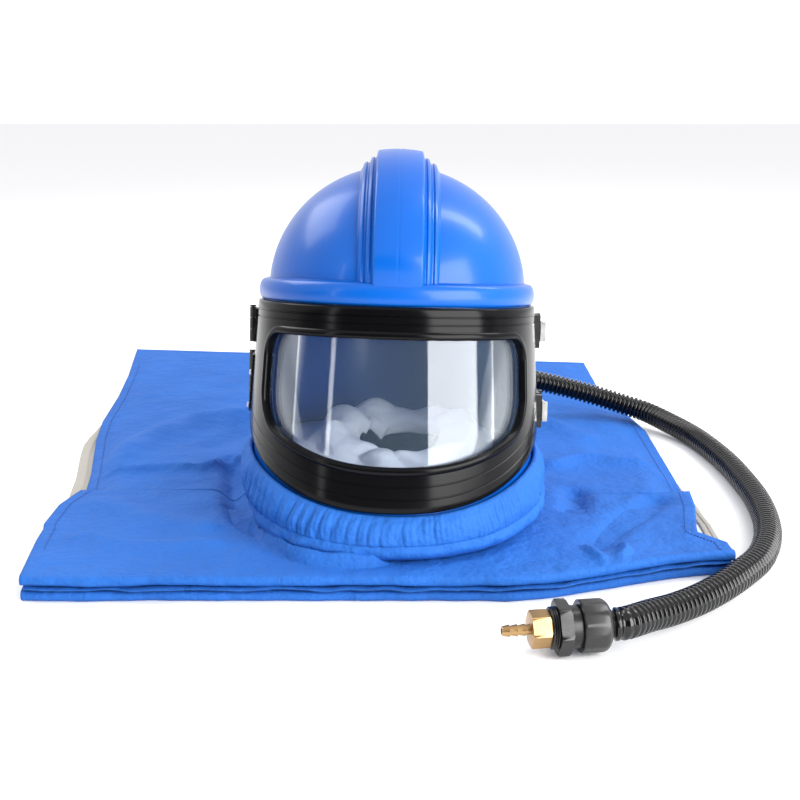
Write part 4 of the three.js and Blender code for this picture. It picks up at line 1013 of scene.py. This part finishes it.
for piece, node, slot in ((nut, "gland_nut", "gland_plastic"), (gland, "gland_body", "gland_plastic"),
                          (adapter, "brass_adapter", "brass")):
    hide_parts(node)


# Elastic straps: white knitted rubber elastic, sewn under the cape's side edges, with a darker middle cord. Their
# white is painted a grey, as painted shade from those edges.
# Each has its side, width in mm, flat size in metres, and rows of place along Y and way in from the edge.
STRAP_ROWS = {
    "elastic_strap_left": (1, 20, (0.02, 0.28), [(256, 9), (180, -2), (90, -3.5), (10, -4), (-20, -1)]),
    "elastic_strap_right": (2, 9, (0.01, 0.13), [(66, 2), (30, -2.3), (-10, -5.6), (-60, -14.1)]),
}


def strap(column, width, rows):
    inward = 1 if column == 1 else -1
    path = smooth_path(rows, 12)
    y = path[:, 0]
    behind = edge_x(BACK_EDGES, (y - SEAM_Y) / BACK_LENGTH / (1 if column == 1 else 0.87), column)
    front = edge_x(FRONT_EDGES, front_share(y), column)
    middle = np.where(y < SEAM_Y, front, behind) + inward * path[:, 1]
    across = np.linspace(-1, 1, 21)
    x = middle[:, None] + across * width / 2
    sunk = 1.2 * np.exp(-(across / 0.12) ** 2) + 0.5 * np.abs(across) ** 8
    z = 1.9 - sunk + 0.15 * np.sin(y * 2.2)[:, None]
    face, back = (np.stack(np.broadcast_arrays(x, y[:, None], height), -1) for height in (z, 0.15))
    return wall(face, back)


# Painted shade: the white elastic's two tones are greys, for the shade that it lies in under the cape's edges.
elastic = woven("white_knitted_elastic_painted_shade", "96928a", "b2aea5", 1.1, 0.1, 0.3)
for name, (column, width, flat, rows) in STRAP_ROWS.items():
    strap_piece = make_piece("knitted_" + name, [strap(column, width, rows)], elastic, "hood", 180)
    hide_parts(name)


# Hardware: the moulded black inlet, hinge and latch parts, and the stamped steel levers, pins and rivets. They
# keep the solids that carry them and take their finishes here.
finishes = {
    "hinge_": gland_plastic, "hinge_rivet": steel, "latch_": gland_plastic, "latch_lever": steel,
    "latch_pin": steel, "hose_inlet": gland_plastic,
}
for name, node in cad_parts.items():
    for start, material in finishes.items():
        if name.startswith(start) and not node.hide_render:
            for slot in node.material_slots:
                slot.material = material


# Table and light: pale matt paper in a white room. The room is dark in front, with a tall softbox at the right
# and a narrow one at the left, which the lens and the frame mirror, and two soft lights overhead.
floor_mesh = bpy.data.meshes.new("table")
floor_mesh.from_pydata([(-6, -1.1, 0), (6, -1.1, 0), (6, 9, 0), (-6, 9, 0)], [], [(0, 1, 2, 3)])
floor = add_object("table", floor_mesh)
paper, tree, coords = new_material("pale_matt_paper")
surface(tree, {
    "Base Color": linear("f7f7f7"), "Specular IOR Level": 0.2,
    "Roughness": varied(tree, noise(tree, coords, 200), 0.85, 0.95)})
floor_mesh.materials.append(paper)


def soft_light(name, turn, distance, height, width, tall, power):
    """An upright softbox: turn in degrees from the front towards +X, sizes in metres."""
    light = bpy.data.lights.new(name, "AREA")
    light.shape = "RECTANGLE"
    light.size, light.size_y, light.energy = width, tall, power
    lamp = add_object(name, light)
    angle = math.radians(turn)
    place = Vector((distance * math.sin(angle), -distance * math.cos(angle), height))
    lamp.location = place
    lamp.rotation_euler = (Vector((0, 0.1, 0.15)) - place).to_track_quat("-Z", "Y").to_euler()


soft_light("right_softbox", 47, 1.7, 0.6, 1.6, 1.5, 72)
soft_light("left_strip", -50, 1.7, 0.6, 0.13, 1.3, 3)
soft_light("overhead_left", -128, 1.45, 1.4, 1.3, 0.9, 16)
soft_light("overhead_right", 118, 1.2, 1.6, 0.3, 1.2, 14)
world = bpy.data.worlds.new("white_room")
world.use_nodes = True
tree = world.node_tree
direction = add_node(tree, "ShaderNodeSeparateXYZ", {0: add_node(tree, "ShaderNodeTexCoord").outputs["Generated"]})
raised = maths(tree, "MULTIPLY_ADD", direction.outputs["Z"], 1.2, direction.outputs["Y"])
tree.nodes["Background"].inputs["Color"].default_value = linear("fdfdff")
tree.links.new(mapped(tree, raised, -0.12, 0.04, 0.1, 1.1).outputs[0], tree.nodes["Background"].inputs["Strength"])
bpy.context.scene.world = world
bpy.context.scene.view_settings.view_transform = "Standard"
